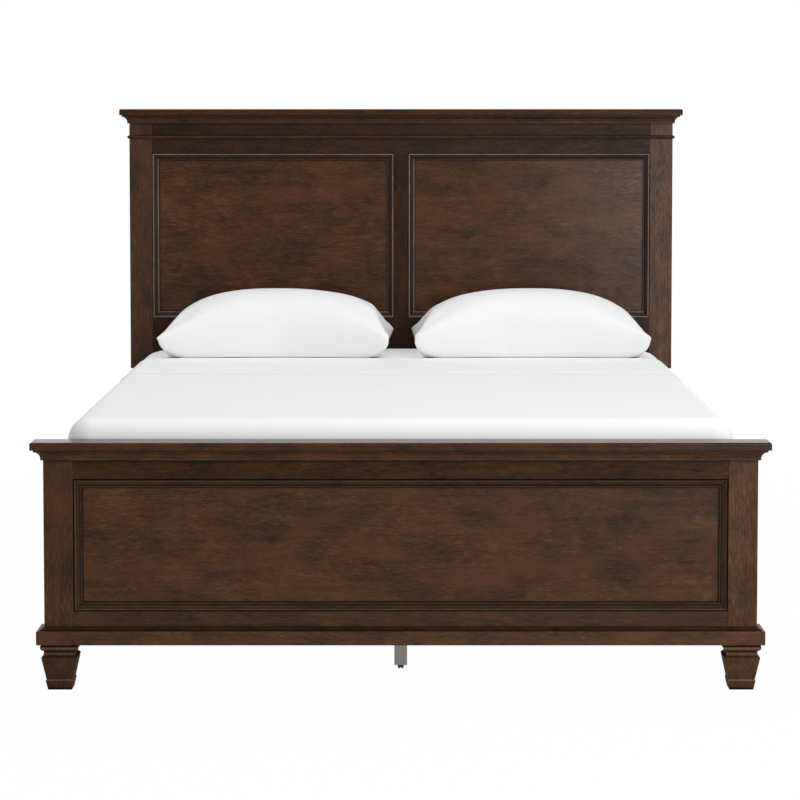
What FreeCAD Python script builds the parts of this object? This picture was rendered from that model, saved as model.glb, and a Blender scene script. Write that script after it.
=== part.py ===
import FreeCAD, Part
import Sketcher
import math
import os
from types import SimpleNamespace
from FreeCAD import Placement, Rotation, Vector

# A queen-size panel bed: a panelled headboard and footboard with mitred mouldings, two side rails, nine slats,
# three screw-adjusted support legs, a mattress under a turned-down sheet, and two pillows.
# Millimetres. +X is to the right seen from the foot, +Y runs from foot to head, +Z is up, and the origin lies on
# the floor under the middle of the bed.

doc = FreeCAD.newDocument("panel_bed")

# Driving dimensions

driving = {
    # Bedding
    "mattress_width": 1520,
    "mattress_length": 2030,
    "mattress_thickness": 303,
    "mattress_base_height": 305,
    "mattress_corner_radius": 70,
    "mattress_edge_radius": 50,
    "sheet_thickness": 2,
    "sheet_hem_height": 8,
    "sheet_fold_from_headboard": 371,
    "sheet_turn_down": 497,
    "pillow_width": 672,
    "pillow_depth": 385,
    "pillow_crown": 129.5,
    "pillow_seam_height": 62,
    "pillow_belly": 100,
    "pillow_tip_thickness": 14,
    "pillow_gap": 57,
    "pillow_offset": 7.5,
    "pillow_headboard_gap": 8,
    "rest_gap": 0.3,
    # Gaps round the mattress
    "foot_gap": 13,
    "head_gap": 13,
    "rail_clearance": 6,
    # Posts, rails and panels of both boards
    "post_width": 67,
    "post_depth": 50,
    "post_arris": 1.5,
    "rail_setback": 1,
    "rail_depth": 26,
    "groove_width": 8,
    "groove_depth": 10,
    "joint_play": 0.1,
    "panel_play": 0.5,
    "panel_moulding_width": 20,
    "panel_moulding_height": 12.5,
    "panel_bead_width": 6,
    "panel_bead_radius": 3.2,
    "panel_quirk_depth": 1.5,
    "panel_cove_radius": 20,
    "panel_fillet_width": 4,
    "panel_fillet_height": 3.2,
    "panel_fillet_rise": 1.5,
    # Cap, cove, bead
    "cap_thickness": 18,
    "cap_overhang": 27,
    "cap_edge_radius": 4,
    "cap_lower_radius": 1.5,
    "cove_height": 24,
    "cove_reach": 20,
    "cove_fillet_height": 4.5,
    "cove_fillet_step": 2,
    "cove_lip": 5.5,
    "cove_lip_height": 1.5,
    "cove_radius": 17,
    "bead_height": 10,
    "bead_reach": 6,
    "bead_fillet": 1,
    # Headboard
    "headboard_height": 1319.5,
    "headboard_post_bottom": 549.5,
    "headboard_top_rail_height": 112.5,
    "headboard_bottom_rail_height": 150.5,
    "headboard_bead_drop": 69.5,
    "mid_stile_width": 42,
    "headboard_leg_width": 80,
    "headboard_leg_lap": 150,
    "leg_bolt_spacing": 70,
    "leg_bolt_radius": 4,
    "leg_bolt_head_radius": 9,
    "leg_bolt_head_height": 4,
    "leg_bolt_bite": 15,
    # Footboard
    "footboard_height": 565.5,
    "footboard_top_rail_height": 66.5,
    "footboard_bottom_rail_height": 43,
    "plinth_thickness": 32,
    "plinth_overhang": 17,
    "plinth_edge_radius": 2,
    "base_moulding_height": 7,
    "base_moulding_reach": 11,
    "base_moulding_lip": 3,
    "base_moulding_lip_height": 1.5,
    "base_moulding_radius": 12,
    # Square feet, half widths at each height
    "foot_height": 105,
    "foot_top_half": 40,
    "foot_ring_height": 15,
    "foot_ring_radius": 8.7,
    "foot_neck_half": 35,
    "foot_neck_height": 10,
    "foot_shoulder_half": 40.5,
    "foot_shoulder_height": 5,
    "foot_ankle_half": 30,
    "foot_ankle_height": 24,
    "foot_step_half": 31.5,
    "foot_step_height": 3,
    "foot_toe_half": 27,
    "foot_bolt_radius": 4,
    "foot_bolt_depth": 40,
    "foot_bolt_bite": 25,
    # Side rails and what holds them
    "side_rail_thickness": 22,
    "side_rail_drop": 135,
    "side_rail_height": 180,
    "side_rail_arris": 3,
    "rail_inset": 17,
    "cleat_width": 26,
    "cleat_height": 24,
    "bracket_steel": 3,
    "bracket_reach": 48,
    "bracket_foot": 27,
    "bracket_height": 60,
    "bracket_rise": 15,
    "bracket_hole_reach": 32,
    "bracket_screw_spacing": 34,
    # Slats
    "slat_width": 80,
    "slat_thickness": 18,
    "slat_arris": 3,
    "slat_end_gap": 2,
    "slat_end_margin": 215,
    # Wood screws
    "screw_radius": 2.2,
    "screw_head_radius": 4.4,
    "screw_head_height": 2.4,
    "screw_length": 16,
    "slat_screw_length": 34,
    # Support legs and their screw-adjusted glides
    "support_leg_width": 30,
    "support_leg_wall": 1.6,
    "support_leg_radius": 3,
    "leg_plate_thickness": 3,
    "leg_plate_length": 74,
    "leg_plate_width": 60,
    "leg_screw_spacing": 54,
    "insert_height": 22,
    "insert_play": 0.1,
    "glide_height": 9.8,
    "glide_base_height": 6,
    "glide_base_top_radius": 7.6,
    "glide_base_bottom_radius": 6,
    "glide_slot_width": 3.6,
    "glide_slot_depth": 2.6,
    "glide_socket_floor": 3.6,
    "socket_play": 0.08,
    "swivel_gap": 0.2,
    "stud_radius": 4,
    "stud_neck_radius": 2.6,
    "stud_length": 34,
    "stud_nut_across": 14,
    "thread_play": 0.08,
}

SLAT_COUNT = 9
LEG_SLATS = (1, (SLAT_COUNT + 1) // 2, SLAT_COUNT)

sheet = doc.addObject("Spreadsheet::Sheet", "sizes")
for row, (alias, number) in enumerate(driving.items(), start=1):
    sheet.set(f"A{row}", alias.replace("_", " "))
    sheet.set(f"B{row}", str(number))
    sheet.setAlias(f"B{row}", alias)
doc.recompute()


class Size:
    """A length and the sheet formula that gives it, so that what is worked out from sizes stays bound to them."""

    def __init__(self, value, formula):
        self.value = value
        self.formula = formula

    def __add__(self, other):
        other = as_size(other)
        return Size(self.value + other.value, f"({self.formula} + {other.formula})")

    def __sub__(self, other):
        other = as_size(other)
        return Size(self.value - other.value, f"({self.formula} - {other.formula})")

    def __mul__(self, other):
        other = as_size(other)
        return Size(self.value * other.value, f"({self.formula} * {other.formula})")

    def __truediv__(self, other):
        other = as_size(other)
        return Size(self.value / other.value, f"({self.formula} / {other.formula})")

    def __neg__(self):
        return Size(-self.value, f"(0 - {self.formula})")


def as_size(number):
    return number if isinstance(number, Size) else Size(float(number), f"({float(number)!r})")


size = SimpleNamespace(**{alias: Size(float(sheet.get(alias)), f"sizes.{alias}") for alias in driving})
ZERO = as_size(0)
LEFT = -1
RIGHT = 1

# Where the main faces lie, worked out from the driving dimensions

overall_length = size.cap_overhang + size.post_depth * 2 + size.foot_gap + size.mattress_length + size.head_gap
foot_face = size.cap_overhang - overall_length / 2
foot_back = foot_face + size.post_depth
mattress_front = foot_back + size.foot_gap
mattress_back = mattress_front + size.mattress_length
head_face = mattress_back + size.head_gap
head_back = head_face + size.post_depth

rail_inner = size.mattress_width / 2 + size.rail_clearance
rail_outer = rail_inner + size.side_rail_thickness
half_span = rail_outer + size.rail_inset
post_inner = half_span - size.post_width
post_centre = half_span - size.post_width / 2

headboard_cap_bottom = size.headboard_height - size.cap_thickness
footboard_cap_bottom = size.footboard_height - size.cap_thickness
plinth_top = size.foot_height + size.plinth_thickness
footboard_post_bottom = plinth_top
headboard_opening_top = headboard_cap_bottom - size.headboard_top_rail_height
headboard_opening_bottom = size.headboard_post_bottom + size.headboard_bottom_rail_height
headboard_bead_bottom = headboard_cap_bottom - size.headboard_bead_drop
footboard_opening_top = footboard_cap_bottom - size.footboard_top_rail_height
footboard_opening_bottom = footboard_post_bottom + size.footboard_bottom_rail_height
side_rail_bottom = size.mattress_base_height - size.side_rail_drop
slat_bottom = size.mattress_base_height - size.slat_thickness
mattress_top = size.mattress_base_height + size.mattress_thickness

# Documents, places and booleans

sub_parts = []


def sub_part(label, made):
    """Names a finished piece; the label is also the name of its file."""
    made.Label = label
    sub_parts.append(made)
    return made


def place(made, at, turn=None):
    made.Placement = Placement(Vector(), turn or Rotation())
    for axis, where in zip("xyz", at):
        made.setExpression(f"Placement.Base.{axis}", as_size(where).formula)
    return made


def bind(made, name, length):
    made.setExpression(name, as_size(length).formula)


def box(name, low, high):
    """A block between its lowest and its highest corner."""
    made = doc.addObject("Part::Box", name)
    for side, least, most in zip(("Length", "Width", "Height"), low, high):
        bind(made, side, as_size(most) - least)
    return place(made, low)


def cut(name, base, *tools):
    made = doc.addObject("Part::Cut", name)
    made.Base = base
    made.Tool = tools[0] if len(tools) == 1 else fuse(name + "_tools", *tools)
    return made


def fuse(name, *pieces):
    made = doc.addObject("Part::MultiFuse", name)
    made.Shapes = list(pieces)
    return made


def common(name, first, second):
    made = doc.addObject("Part::MultiCommon", name)
    made.Shapes = [first, second]
    return made


def group(name, pieces):
    made = doc.addObject("Part::Compound", name)
    made.Links = list(pieces)
    return made


def spread(side, inner, outer):
    """The least and the greatest x of what lies between two distances from the middle, on one side of the bed."""
    return (inner, outer) if side == RIGHT else (-outer, -inner)


# Outlines drawn as sketches whose corners are bound to the sheet

PROFILE_PLANE = Rotation(Vector(0, 1, 0), Vector(0, 0, 1), Vector(1, 0, 0), "XYZ")
FRONT_PLANE = Rotation(Vector(1, 0, 0), 90)
SIDE_PLANE = Rotation(Vector(0, 0, 1), 90) * FRONT_PLANE
FLAT_PLANE = Rotation()
IN_LEFT = 1
IN_RIGHT = -1


def corner_point(corner):
    return Vector(as_size(corner[0]).value, as_size(corner[1]).value, 0)


def draw(sketch, corners):
    """Draws a closed outline. A corner is (x, y), or (x, y, radius, bulge) where an arc leaves it and swells to
    the left or to the right of the way on. An arc starts at its counterclockwise end."""
    first = sketch.GeometryCount
    count = len(corners)
    starts = []
    for index, corner in enumerate(corners):
        here = corner_point(corner)
        there = corner_point(corners[(index + 1) % count])
        if len(corner) == 2:
            sketch.addGeometry(Part.LineSegment(here, there), False)
        else:
            radius = as_size(corner[2]).value
            along = there - here
            rise = radius - math.sqrt(max(radius ** 2 - along.Length ** 2 / 4, 0))
            sideways = Vector(-along.y, along.x, 0).normalize() * rise * corner[3]
            ends = (here, there) if corner[3] == IN_RIGHT else (there, here)
            sketch.addGeometry(Part.Arc(ends[0], (here + there) / 2 + sideways, ends[1]), False)
        starts.append(2 if corner[3:] == (IN_LEFT,) else 1)
    for index, corner in enumerate(corners):
        after = (index + 1) % count
        edge = first + index
        joint = Sketcher.Constraint("Coincident", edge, 3 - starts[index], first + after, starts[after])
        sketch.addConstraint(joint)
        for kind, where in zip(("DistanceX", "DistanceY"), corner):
            where = as_size(where)
            held = sketch.addConstraint(Sketcher.Constraint(kind, -1, 1, edge, starts[index], where.value))
            sketch.setExpression(f"Constraints[{held}]", where.formula)
        if len(corner) > 2:
            radius = as_size(corner[2])
            held = sketch.addConstraint(Sketcher.Constraint("Radius", edge, radius.value))
            sketch.setExpression(f"Constraints[{held}]", radius.formula)


def outline(name, plane, *loops):
    made = doc.addObject("Sketcher::SketchObject", name)
    made.Placement = Placement(Vector(), plane)
    for corners in loops:
        draw(made, corners)
    return made


def rounded_rectangle(low, high, radius):
    left, bottom = low
    right, top = high
    return [
        (left + radius, bottom),
        (right - radius, bottom, radius, IN_RIGHT),
        (right, bottom + radius),
        (right, top - radius, radius, IN_RIGHT),
        (right - radius, top),
        (left + radius, top, radius, IN_RIGHT),
        (left, top - radius),
        (left, bottom + radius, radius, IN_RIGHT),
    ]


def extrude(name, profile, direction, ahead, behind=ZERO):
    made = doc.addObject("Part::Extrusion", name)
    made.Base = profile
    made.DirMode = "Custom"
    made.Dir = direction
    made.Solid = True
    bind(made, "LengthFwd", ahead)
    bind(made, "LengthRev", behind)
    return made


def turned(name, profile, at, turn=None):
    """A round piece from a profile of radius and height, turned about its own Z axis."""
    made = doc.addObject("Part::Revolution", name)
    made.Source = profile
    made.Axis = Vector(0, 0, 1)
    made.Base = Vector()
    made.Angle = 360
    made.Solid = True
    return place(made, at, turn)


# Mouldings: bars of one profile, cut to a mitre where they meet at a corner

X_AXIS = Vector(1, 0, 0)
Y_AXIS = Vector(0, 1, 0)
Z_AXIS = Vector(0, 0, 1)
MITRE_REACHES = 3


def moulding_bar(name, profile, reach, length, start_mitred, end_mitred, at, turn):
    """One bar that runs along its own X with the profile's first coordinate pointing outward along its own Y.
    A mitred end follows the line at 45 degrees from the corner, outward or inward alike, and the block that saws
    it is several times as big as the moulding's reach."""
    ahead = length + reach if end_mitred else length
    behind = reach if start_mitred else ZERO
    bar = extrude(name + "_stick", profile, X_AXIS, ahead, behind)
    block = reach * MITRE_REACHES
    cutters = []
    if start_mitred:
        saw = box(name + "_start_saw", (reach, -reach, -block), (reach + block, block - reach, block))
        cutters.append(place(saw, (reach, -reach, -block), Rotation(Z_AXIS, 135)))
    if end_mitred:
        saw = box(name + "_end_saw", (ZERO, ZERO, -block), (block, block, block))
        cutters.append(place(saw, (length - reach, -reach, -block), Rotation(Z_AXIS, -45)))
    return place(cut(name, bar, *cutters), at, turn)


def wrapped_moulding(label, profile, reach, face, bottom):
    """A moulding round the front and both ends of a board, as three bars mitred at the front corners."""
    front = moulding_bar(label + "_front", profile, reach, half_span * 2, True, True,
                         (half_span, face, bottom), Rotation(Z_AXIS, 180))
    left = moulding_bar(label + "_left", profile, reach, size.post_depth, True, False,
                        (-half_span, face, bottom), Rotation(Z_AXIS, 90))
    right = moulding_bar(label + "_right", profile, reach, size.post_depth, False, True,
                         (half_span, face + size.post_depth, bottom), Rotation(Z_AXIS, -90))
    return sub_part(label, group(label, [front, left, right]))


def cove_profile():
    """Fillet, cove and lip under a cap, from the board's face outward and from the lip up."""
    top = size.cove_height
    shoulder = top - size.cove_fillet_height
    throat = size.cove_reach - size.cove_fillet_step
    return outline("cove_profile", PROFILE_PLANE, [
        (ZERO, ZERO),
        (size.cove_lip, ZERO),
        (size.cove_lip, size.cove_lip_height, size.cove_radius, IN_LEFT),
        (throat, shoulder),
        (size.cove_reach, shoulder),
        (size.cove_reach, top),
        (ZERO, top),
    ])


def bead_profile():
    flat = size.bead_fillet
    return outline("bead_profile", PROFILE_PLANE, [
        (ZERO, ZERO),
        (flat, ZERO, size.bead_reach, IN_RIGHT),
        (size.bead_reach, size.bead_height / 2, size.bead_reach, IN_RIGHT),
        (flat, size.bead_height),
        (ZERO, size.bead_height),
    ])


def base_profile():
    """Small cove from the plinth's top up to the posts."""
    return outline("base_profile", PROFILE_PLANE, [
        (ZERO, ZERO),
        (size.base_moulding_reach, ZERO),
        (size.base_moulding_reach, size.base_moulding_lip_height, size.base_moulding_radius, IN_LEFT),
        (size.base_moulding_lip, size.base_moulding_height),
        (ZERO, size.base_moulding_height),
    ])


def panel_moulding_profile():
    """Outer bead, quirk, cove and inner fillet; the first coordinate is negative because it runs inward."""
    width = size.panel_moulding_width
    bead = size.panel_bead_width
    bead_foot = size.panel_moulding_height - size.panel_bead_radius
    fillet = width - size.panel_fillet_width
    fillet_top = size.panel_fillet_height + size.panel_fillet_rise
    return outline("panel_moulding_profile", PROFILE_PLANE, [
        (ZERO, ZERO),
        (ZERO, bead_foot, size.panel_bead_radius, IN_RIGHT),
        (-bead, bead_foot),
        (-bead, bead_foot - size.panel_quirk_depth, size.panel_cove_radius, IN_LEFT),
        (-fillet, size.panel_fillet_height),
        (-fillet, fillet_top),
        (-(width - size.panel_fillet_rise), fillet_top),
        (-width, size.panel_fillet_height),
        (-width, ZERO),
    ])


# Boards planed from timber

GROOVE_FRONT = size.rail_setback + (size.rail_depth - size.groove_width) / 2
leg_front = head_face + size.rail_setback + size.rail_depth


def post_blank(name, side, face, bottom, top):
    """A post with eased upright arrises and a panel groove down its inner edge."""
    least, most = spread(side, post_inner, half_span)
    section = outline(name + "_section", FLAT_PLANE, rounded_rectangle(
        (least, face), (most, face + size.post_depth), size.post_arris))
    stick = place(extrude(name + "_stick", section, Z_AXIS, top - bottom), (ZERO, ZERO, bottom))
    least, most = spread(side, post_inner, post_inner + size.groove_depth)
    front = face + GROOVE_FRONT
    groove = box(name + "_groove", (least, front, bottom), (most, front + size.groove_width, top))
    return cut(name + "_blank", stick, groove)


def rail(label, face, bottom, top, groove_bottom):
    """A rail between the posts, with a stub tenon at each end and a panel groove along one edge."""
    front = face + size.rail_setback
    tongue = face + GROOVE_FRONT + size.joint_play
    tongue_back = face + GROOVE_FRONT + size.groove_width - size.joint_play
    tip = post_inner + size.groove_depth - size.joint_play
    body = box(label + "_body", (-post_inner, front, bottom), (post_inner, front + size.rail_depth, top))
    tenons = box(label + "_tenons", (-tip, tongue, bottom), (tip, tongue_back, top))
    groove = box(label + "_groove", (-half_span, face + GROOVE_FRONT, groove_bottom),
                 (half_span, face + GROOVE_FRONT + size.groove_width, groove_bottom + size.groove_depth))
    return sub_part(label, cut(label, fuse(label + "_blank", body, tenons), groove))


def panel(label, face, left, right, bottom, top):
    """A flat veneered panel, held loose in the grooves round its opening."""
    hold = size.groove_depth - size.panel_play
    front = face + GROOVE_FRONT + size.joint_play
    back = face + GROOVE_FRONT + size.groove_width - size.joint_play
    return sub_part(label, box(label, (left - hold, front, bottom - hold), (right + hold, back, top + hold)))


def panel_moulding(label, profile, face, left, right, bottom, top):
    """Four mitred bars that frame a panel; each runs along one edge of the opening and the next one turns."""
    front = face + GROOVE_FRONT + size.joint_play
    lying = Rotation(Vector(-1, 0, 0), Vector(0, 0, -1), Vector(0, -1, 0), "XYZ")
    corners = ((right, bottom), (left, bottom), (left, top), (right, top))
    lengths = (right - left, top - bottom) * 2
    bars = []
    for quarter, ((x, z), length) in enumerate(zip(corners, lengths)):
        turn = Rotation(Y_AXIS, 90 * quarter) * lying
        name = f"{label}_bar_{quarter + 1}"
        bars.append(moulding_bar(name, profile, size.panel_moulding_width, length, True, True, (x, front, z), turn))
    return sub_part(label, group(label, bars))


# Bodies made of sketches and pads


def body_sketch(body, name, *loops):
    made = body.newObject("Sketcher::SketchObject", name)
    plane = next(feature for feature in body.Origin.OriginFeatures if feature.Role == "XY_Plane")
    made.AttachmentSupport = [(plane, "")]
    made.MapMode = "FlatFace"
    for corners in loops:
        draw(made, corners)
    return made


def padded(body, name, length, *loops):
    made = body.newObject("PartDesign::Pad", name)
    made.Profile = body_sketch(body, name + "_sketch", *loops)
    bind(made, "Length", length)
    return made


def rounded(body, name, base, radius, wanted):
    """Rounds the edges of a body's last feature that a test picks by their middle."""
    doc.recompute()
    edges = [f"Edge{count}" for count, edge in enumerate(base.Shape.Edges, start=1) if wanted(edge)]
    made = body.newObject("PartDesign::Fillet", name)
    made.Base = (base, edges)
    bind(made, "Radius", radius)
    return made


NEARLY = 1e-3


def level_with(edge, height):
    return abs(edge.BoundBox.ZMin - height) < NEARLY and abs(edge.BoundBox.ZMax - height) < NEARLY


def eased_board(name, low, high, upper_radius, lower_radius):
    """A flat board whose upper and lower edges are eased along the front and both ends; its back stays square."""
    left, front, bottom = low
    right, back, top = high
    body = doc.addObject("PartDesign::Body", name)
    thickness = top - bottom
    board = padded(body, name + "_sawn", thickness,
                   [(left, front), (right, front), (right, back), (left, back)])
    rounds = ((upper_radius, thickness.value, "_upper"), (lower_radius, 0, "_lower"))
    for radius, height, ending in rounds:
        board = rounded(body, name + ending, board, radius, lambda edge: (
            level_with(edge, height) and edge.BoundBox.YMin < back.value - NEARLY))
    return place(body, (ZERO, ZERO, bottom))


def cap(label, face, bottom):
    reach = half_span + size.cap_overhang
    return sub_part(label, eased_board(label, (-reach, face - size.cap_overhang, bottom),
                                       (reach, face + size.post_depth, bottom + size.cap_thickness),
                                       size.cap_edge_radius, size.cap_lower_radius))


# Screws and bolts


def pan_screw_profile():
    shank = size.screw_radius
    head = size.screw_head_radius
    crown = size.screw_head_height
    return outline("pan_screw_profile", FRONT_PLANE, [
        (ZERO, -crown),
        (head / 2, -crown, head, IN_RIGHT),
        (head, ZERO),
        (shank, ZERO),
        (shank, size.screw_length - shank),
        (ZERO, size.screw_length),
    ])


def flat_screw_profile():
    """A countersunk screw, flush at zero height and driven along its own Z."""
    shank = size.screw_radius
    return outline("flat_screw_profile", FRONT_PLANE, [
        (ZERO, ZERO),
        (size.screw_head_radius, ZERO),
        (shank, size.screw_head_height),
        (shank, size.slat_screw_length - shank),
        (ZERO, size.slat_screw_length),
    ])


def leg_bolt_profile():
    """A flat-headed bolt, sunk flush with the back of the leg."""
    tip = size.post_depth - size.rail_setback - size.rail_depth + size.leg_bolt_bite
    return outline("leg_bolt_profile", FRONT_PLANE, [
        (ZERO, ZERO),
        (size.leg_bolt_head_radius, ZERO),
        (size.leg_bolt_head_radius, size.leg_bolt_head_height),
        (size.leg_bolt_radius, size.leg_bolt_head_height),
        (size.leg_bolt_radius, tip),
        (ZERO, tip),
    ])


pan_screw = pan_screw_profile()
flat_screw = flat_screw_profile()
leg_bolt = leg_bolt_profile()
DRIVEN_UP = Rotation()
DRIVEN_DOWN = Rotation(X_AXIS, 180)
DRIVEN_TO_FOOT = Rotation(X_AXIS, 90)
DRIVEN_TO_HEAD = Rotation(X_AXIS, -90)
DRIVEN_OUT = {LEFT: Rotation(Y_AXIS, -90), RIGHT: Rotation(Y_AXIS, 90)}
SIDE_NAMES = {LEFT: "left", RIGHT: "right"}

# Rail brackets: a bent steel angle in each corner, with two screws in each of its legs

bracket_bottom = side_rail_bottom + size.bracket_rise
bracket_middle = bracket_bottom + size.bracket_height / 2
bracket_holes = (bracket_middle - size.bracket_screw_spacing / 2, bracket_middle + size.bracket_screw_spacing / 2)
brackets = []
rail_screws = {LEFT: [], RIGHT: []}
foot_screws = {LEFT: [], RIGHT: []}
head_screws = {LEFT: [], RIGHT: []}
for side, side_name in SIDE_NAMES.items():
    foot_low, foot_high = spread(side, rail_inner - size.bracket_foot, rail_inner)
    wing_low, wing_high = spread(side, rail_inner - size.bracket_steel, rail_inner)
    inner_face = (rail_inner - size.bracket_steel) * side
    foot_hole = (rail_inner - (size.bracket_foot + size.bracket_steel) / 2) * side
    ends = (
        ("foot", foot_back, 1, foot_screws, DRIVEN_TO_FOOT),
        ("head", leg_front, -1, head_screws, DRIVEN_TO_HEAD),
    )
    for end_name, seat, inward, end_screws, driven in ends:
        name = f"{side_name}_{end_name}_bracket"
        plate_y = (seat, seat + size.bracket_steel) if inward > 0 else (seat - size.bracket_steel, seat)
        wing_y = (seat, seat + size.bracket_reach) if inward > 0 else (seat - size.bracket_reach, seat)
        top = bracket_bottom + size.bracket_height
        plate = box(name + "_plate", (foot_low, plate_y[0], bracket_bottom), (foot_high, plate_y[1], top))
        wing = box(name + "_wing", (wing_low, wing_y[0], bracket_bottom), (wing_high, wing_y[1], top))
        wing_hole = seat + size.bracket_hole_reach * inward
        plate_face = seat + size.bracket_steel * inward
        own_screws = []
        for height in bracket_holes:
            in_rail = turned(name + "_rail_screw", pan_screw, (inner_face, wing_hole, height), DRIVEN_OUT[side])
            in_end = turned(name + "_end_screw", pan_screw, (foot_hole, plate_face, height), driven)
            rail_screws[side].append(in_rail)
            end_screws[side].append(in_end)
            own_screws += [in_rail, in_end]
        brackets.append(cut(name, fuse(name + "_angle", plate, wing), *own_screws))
sub_part("rail_brackets", group("rail_brackets", brackets))
sub_part("bracket_screws", group("bracket_screws", [
    screw for screws in (rail_screws, foot_screws, head_screws) for side in SIDE_NAMES for screw in screws[side]]))

# Headboard: posts on bolted legs, two rails, a mid stile, two panels, mouldings, bead, cove and cap

lap_top = size.headboard_post_bottom + size.headboard_leg_lap
bolts = []
for side, side_name in SIDE_NAMES.items():
    bolt_x = (post_inner + rail_outer) / 2 * side
    bolt_middle = size.headboard_post_bottom + size.headboard_leg_lap / 2
    pair = []
    for height in (bolt_middle - size.leg_bolt_spacing / 2, bolt_middle + size.leg_bolt_spacing / 2):
        pair.append(turned(f"{side_name}_leg_bolt", leg_bolt, (bolt_x, head_back, height), DRIVEN_TO_FOOT))
    bolts += pair
    label = f"headboard_{side_name}_post"
    blank = post_blank(label, side, head_face, size.headboard_post_bottom, headboard_cap_bottom)
    least, most = spread(side, post_inner, rail_outer)
    lap = box(label + "_lap", (least, leg_front, size.headboard_post_bottom), (most, head_back, lap_top))
    sub_part(label, cut(label, blank, lap, *pair))
    label = f"headboard_{side_name}_leg"
    least, most = spread(side, rail_outer - size.headboard_leg_width, rail_outer)
    leg = box(label + "_board", (least, leg_front, ZERO), (most, head_back, lap_top))
    sub_part(label, cut(label, leg, *pair, *head_screws[side]))
sub_part("headboard_leg_bolts", group("headboard_leg_bolts", bolts))

rail("headboard_top_rail", head_face, headboard_opening_top, headboard_cap_bottom, headboard_opening_top)
rail("headboard_bottom_rail", head_face, size.headboard_post_bottom, headboard_opening_bottom,
     headboard_opening_bottom - size.groove_depth)

stile_half = size.mid_stile_width / 2
stile_front = head_face + size.rail_setback
tongue_front = head_face + GROOVE_FRONT
stile_tip = size.groove_depth - size.joint_play
stile_body = box("mid_stile_body", (-stile_half, stile_front, headboard_opening_bottom),
                 (stile_half, stile_front + size.rail_depth, headboard_opening_top))
stile_tenons = box("mid_stile_tenons",
                   (-stile_half, tongue_front + size.joint_play, headboard_opening_bottom - stile_tip),
                   (stile_half, tongue_front + size.groove_width - size.joint_play,
                    headboard_opening_top + stile_tip))
stile_grooves = []
for side, side_name in SIDE_NAMES.items():
    least, most = spread(side, stile_half - size.groove_depth, stile_half)
    stile_grooves.append(box(f"mid_stile_{side_name}_groove",
                             (least, tongue_front, headboard_opening_bottom - size.groove_depth),
                             (most, tongue_front + size.groove_width,
                              headboard_opening_top + size.groove_depth)))
sub_part("headboard_mid_stile", cut("headboard_mid_stile", fuse("mid_stile_blank", stile_body, stile_tenons),
                                    *stile_grooves))

panel_bead = panel_moulding_profile()
for side, side_name in SIDE_NAMES.items():
    least, most = spread(side, stile_half, post_inner)
    opening = (head_face, least, most, headboard_opening_bottom, headboard_opening_top)
    panel(f"headboard_{side_name}_panel", *opening)
    panel_moulding(f"headboard_{side_name}_panel_moulding", panel_bead, *opening)

cove = cove_profile()
wrapped_moulding("headboard_bead", bead_profile(), size.bead_reach, head_face, headboard_bead_bottom)
wrapped_moulding("headboard_cove", cove, size.cove_reach, head_face, headboard_cap_bottom - size.cove_height)
cap("headboard_cap", head_face, headboard_cap_bottom)

# Footboard: posts and rails on a plinth, one panel, mouldings, cove and cap, and two square feet

for side, side_name in SIDE_NAMES.items():
    label = f"footboard_{side_name}_post"
    blank = post_blank(label, side, foot_face, footboard_post_bottom, footboard_cap_bottom)
    sub_part(label, cut(label, blank, *foot_screws[side]))
rail("footboard_top_rail", foot_face, footboard_opening_top, footboard_cap_bottom, footboard_opening_top)
rail("footboard_bottom_rail", foot_face, footboard_post_bottom, footboard_opening_bottom,
     footboard_opening_bottom - size.groove_depth)
foot_opening = (foot_face, -post_inner, post_inner, footboard_opening_bottom, footboard_opening_top)
panel("footboard_panel", *foot_opening)
panel_moulding("footboard_panel_moulding", panel_bead, *foot_opening)
wrapped_moulding("footboard_cove", cove, size.cove_reach, foot_face, footboard_cap_bottom - size.cove_height)
cap("footboard_cap", foot_face, footboard_cap_bottom)
wrapped_moulding("footboard_base_moulding", base_profile(), size.base_moulding_reach, foot_face, plinth_top)


def foot_outline(name, plane):
    """The silhouette that every side of the square foot shows: toe, step, taper, shoulder, neck and ring."""
    neck_top = size.foot_height - size.foot_ring_height
    neck_bottom = neck_top - size.foot_neck_height
    step_top = size.foot_ankle_height - size.foot_step_height
    rising = [
        (size.foot_toe_half, ZERO),
        (size.foot_step_half, step_top),
        (size.foot_ankle_half, size.foot_ankle_height),
        (size.foot_shoulder_half, neck_bottom - size.foot_shoulder_height),
        (size.foot_neck_half, neck_bottom),
        (size.foot_neck_half, neck_top, size.foot_ring_radius, IN_RIGHT),
        (size.foot_top_half, size.foot_height),
    ]
    falling = [(-half, height) for half, height, *_ in reversed(rising)]
    falling[0] = (*falling[0], size.foot_ring_radius, IN_RIGHT)
    return outline(name, plane, rising + falling)


foot_front = foot_outline("foot_front_outline", FRONT_PLANE)
foot_side = foot_outline("foot_side_outline", SIDE_PLANE)
foot_reach = size.foot_shoulder_half + size.foot_ring_radius
foot_centre = foot_face + size.post_width / 2
foot_bolts = []
for side, side_name in SIDE_NAMES.items():
    label = f"footboard_{side_name}_foot"
    bolt = doc.addObject("Part::Cylinder", f"{side_name}_foot_bolt")
    bind(bolt, "Radius", size.foot_bolt_radius)
    bind(bolt, "Height", size.foot_bolt_depth + size.foot_bolt_bite)
    place(bolt, (post_centre * side, foot_centre, size.foot_height - size.foot_bolt_depth))
    foot_bolts.append(bolt)
    block = common(label + "_block", extrude(label + "_front", foot_front, Y_AXIS, foot_reach, foot_reach),
                   extrude(label + "_side", foot_side, X_AXIS, foot_reach, foot_reach))
    place(block, (post_centre * side, foot_centre, ZERO))
    sub_part(label, cut(label, block, bolt))
sub_part("foot_bolts", group("foot_bolts", foot_bolts))

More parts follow.
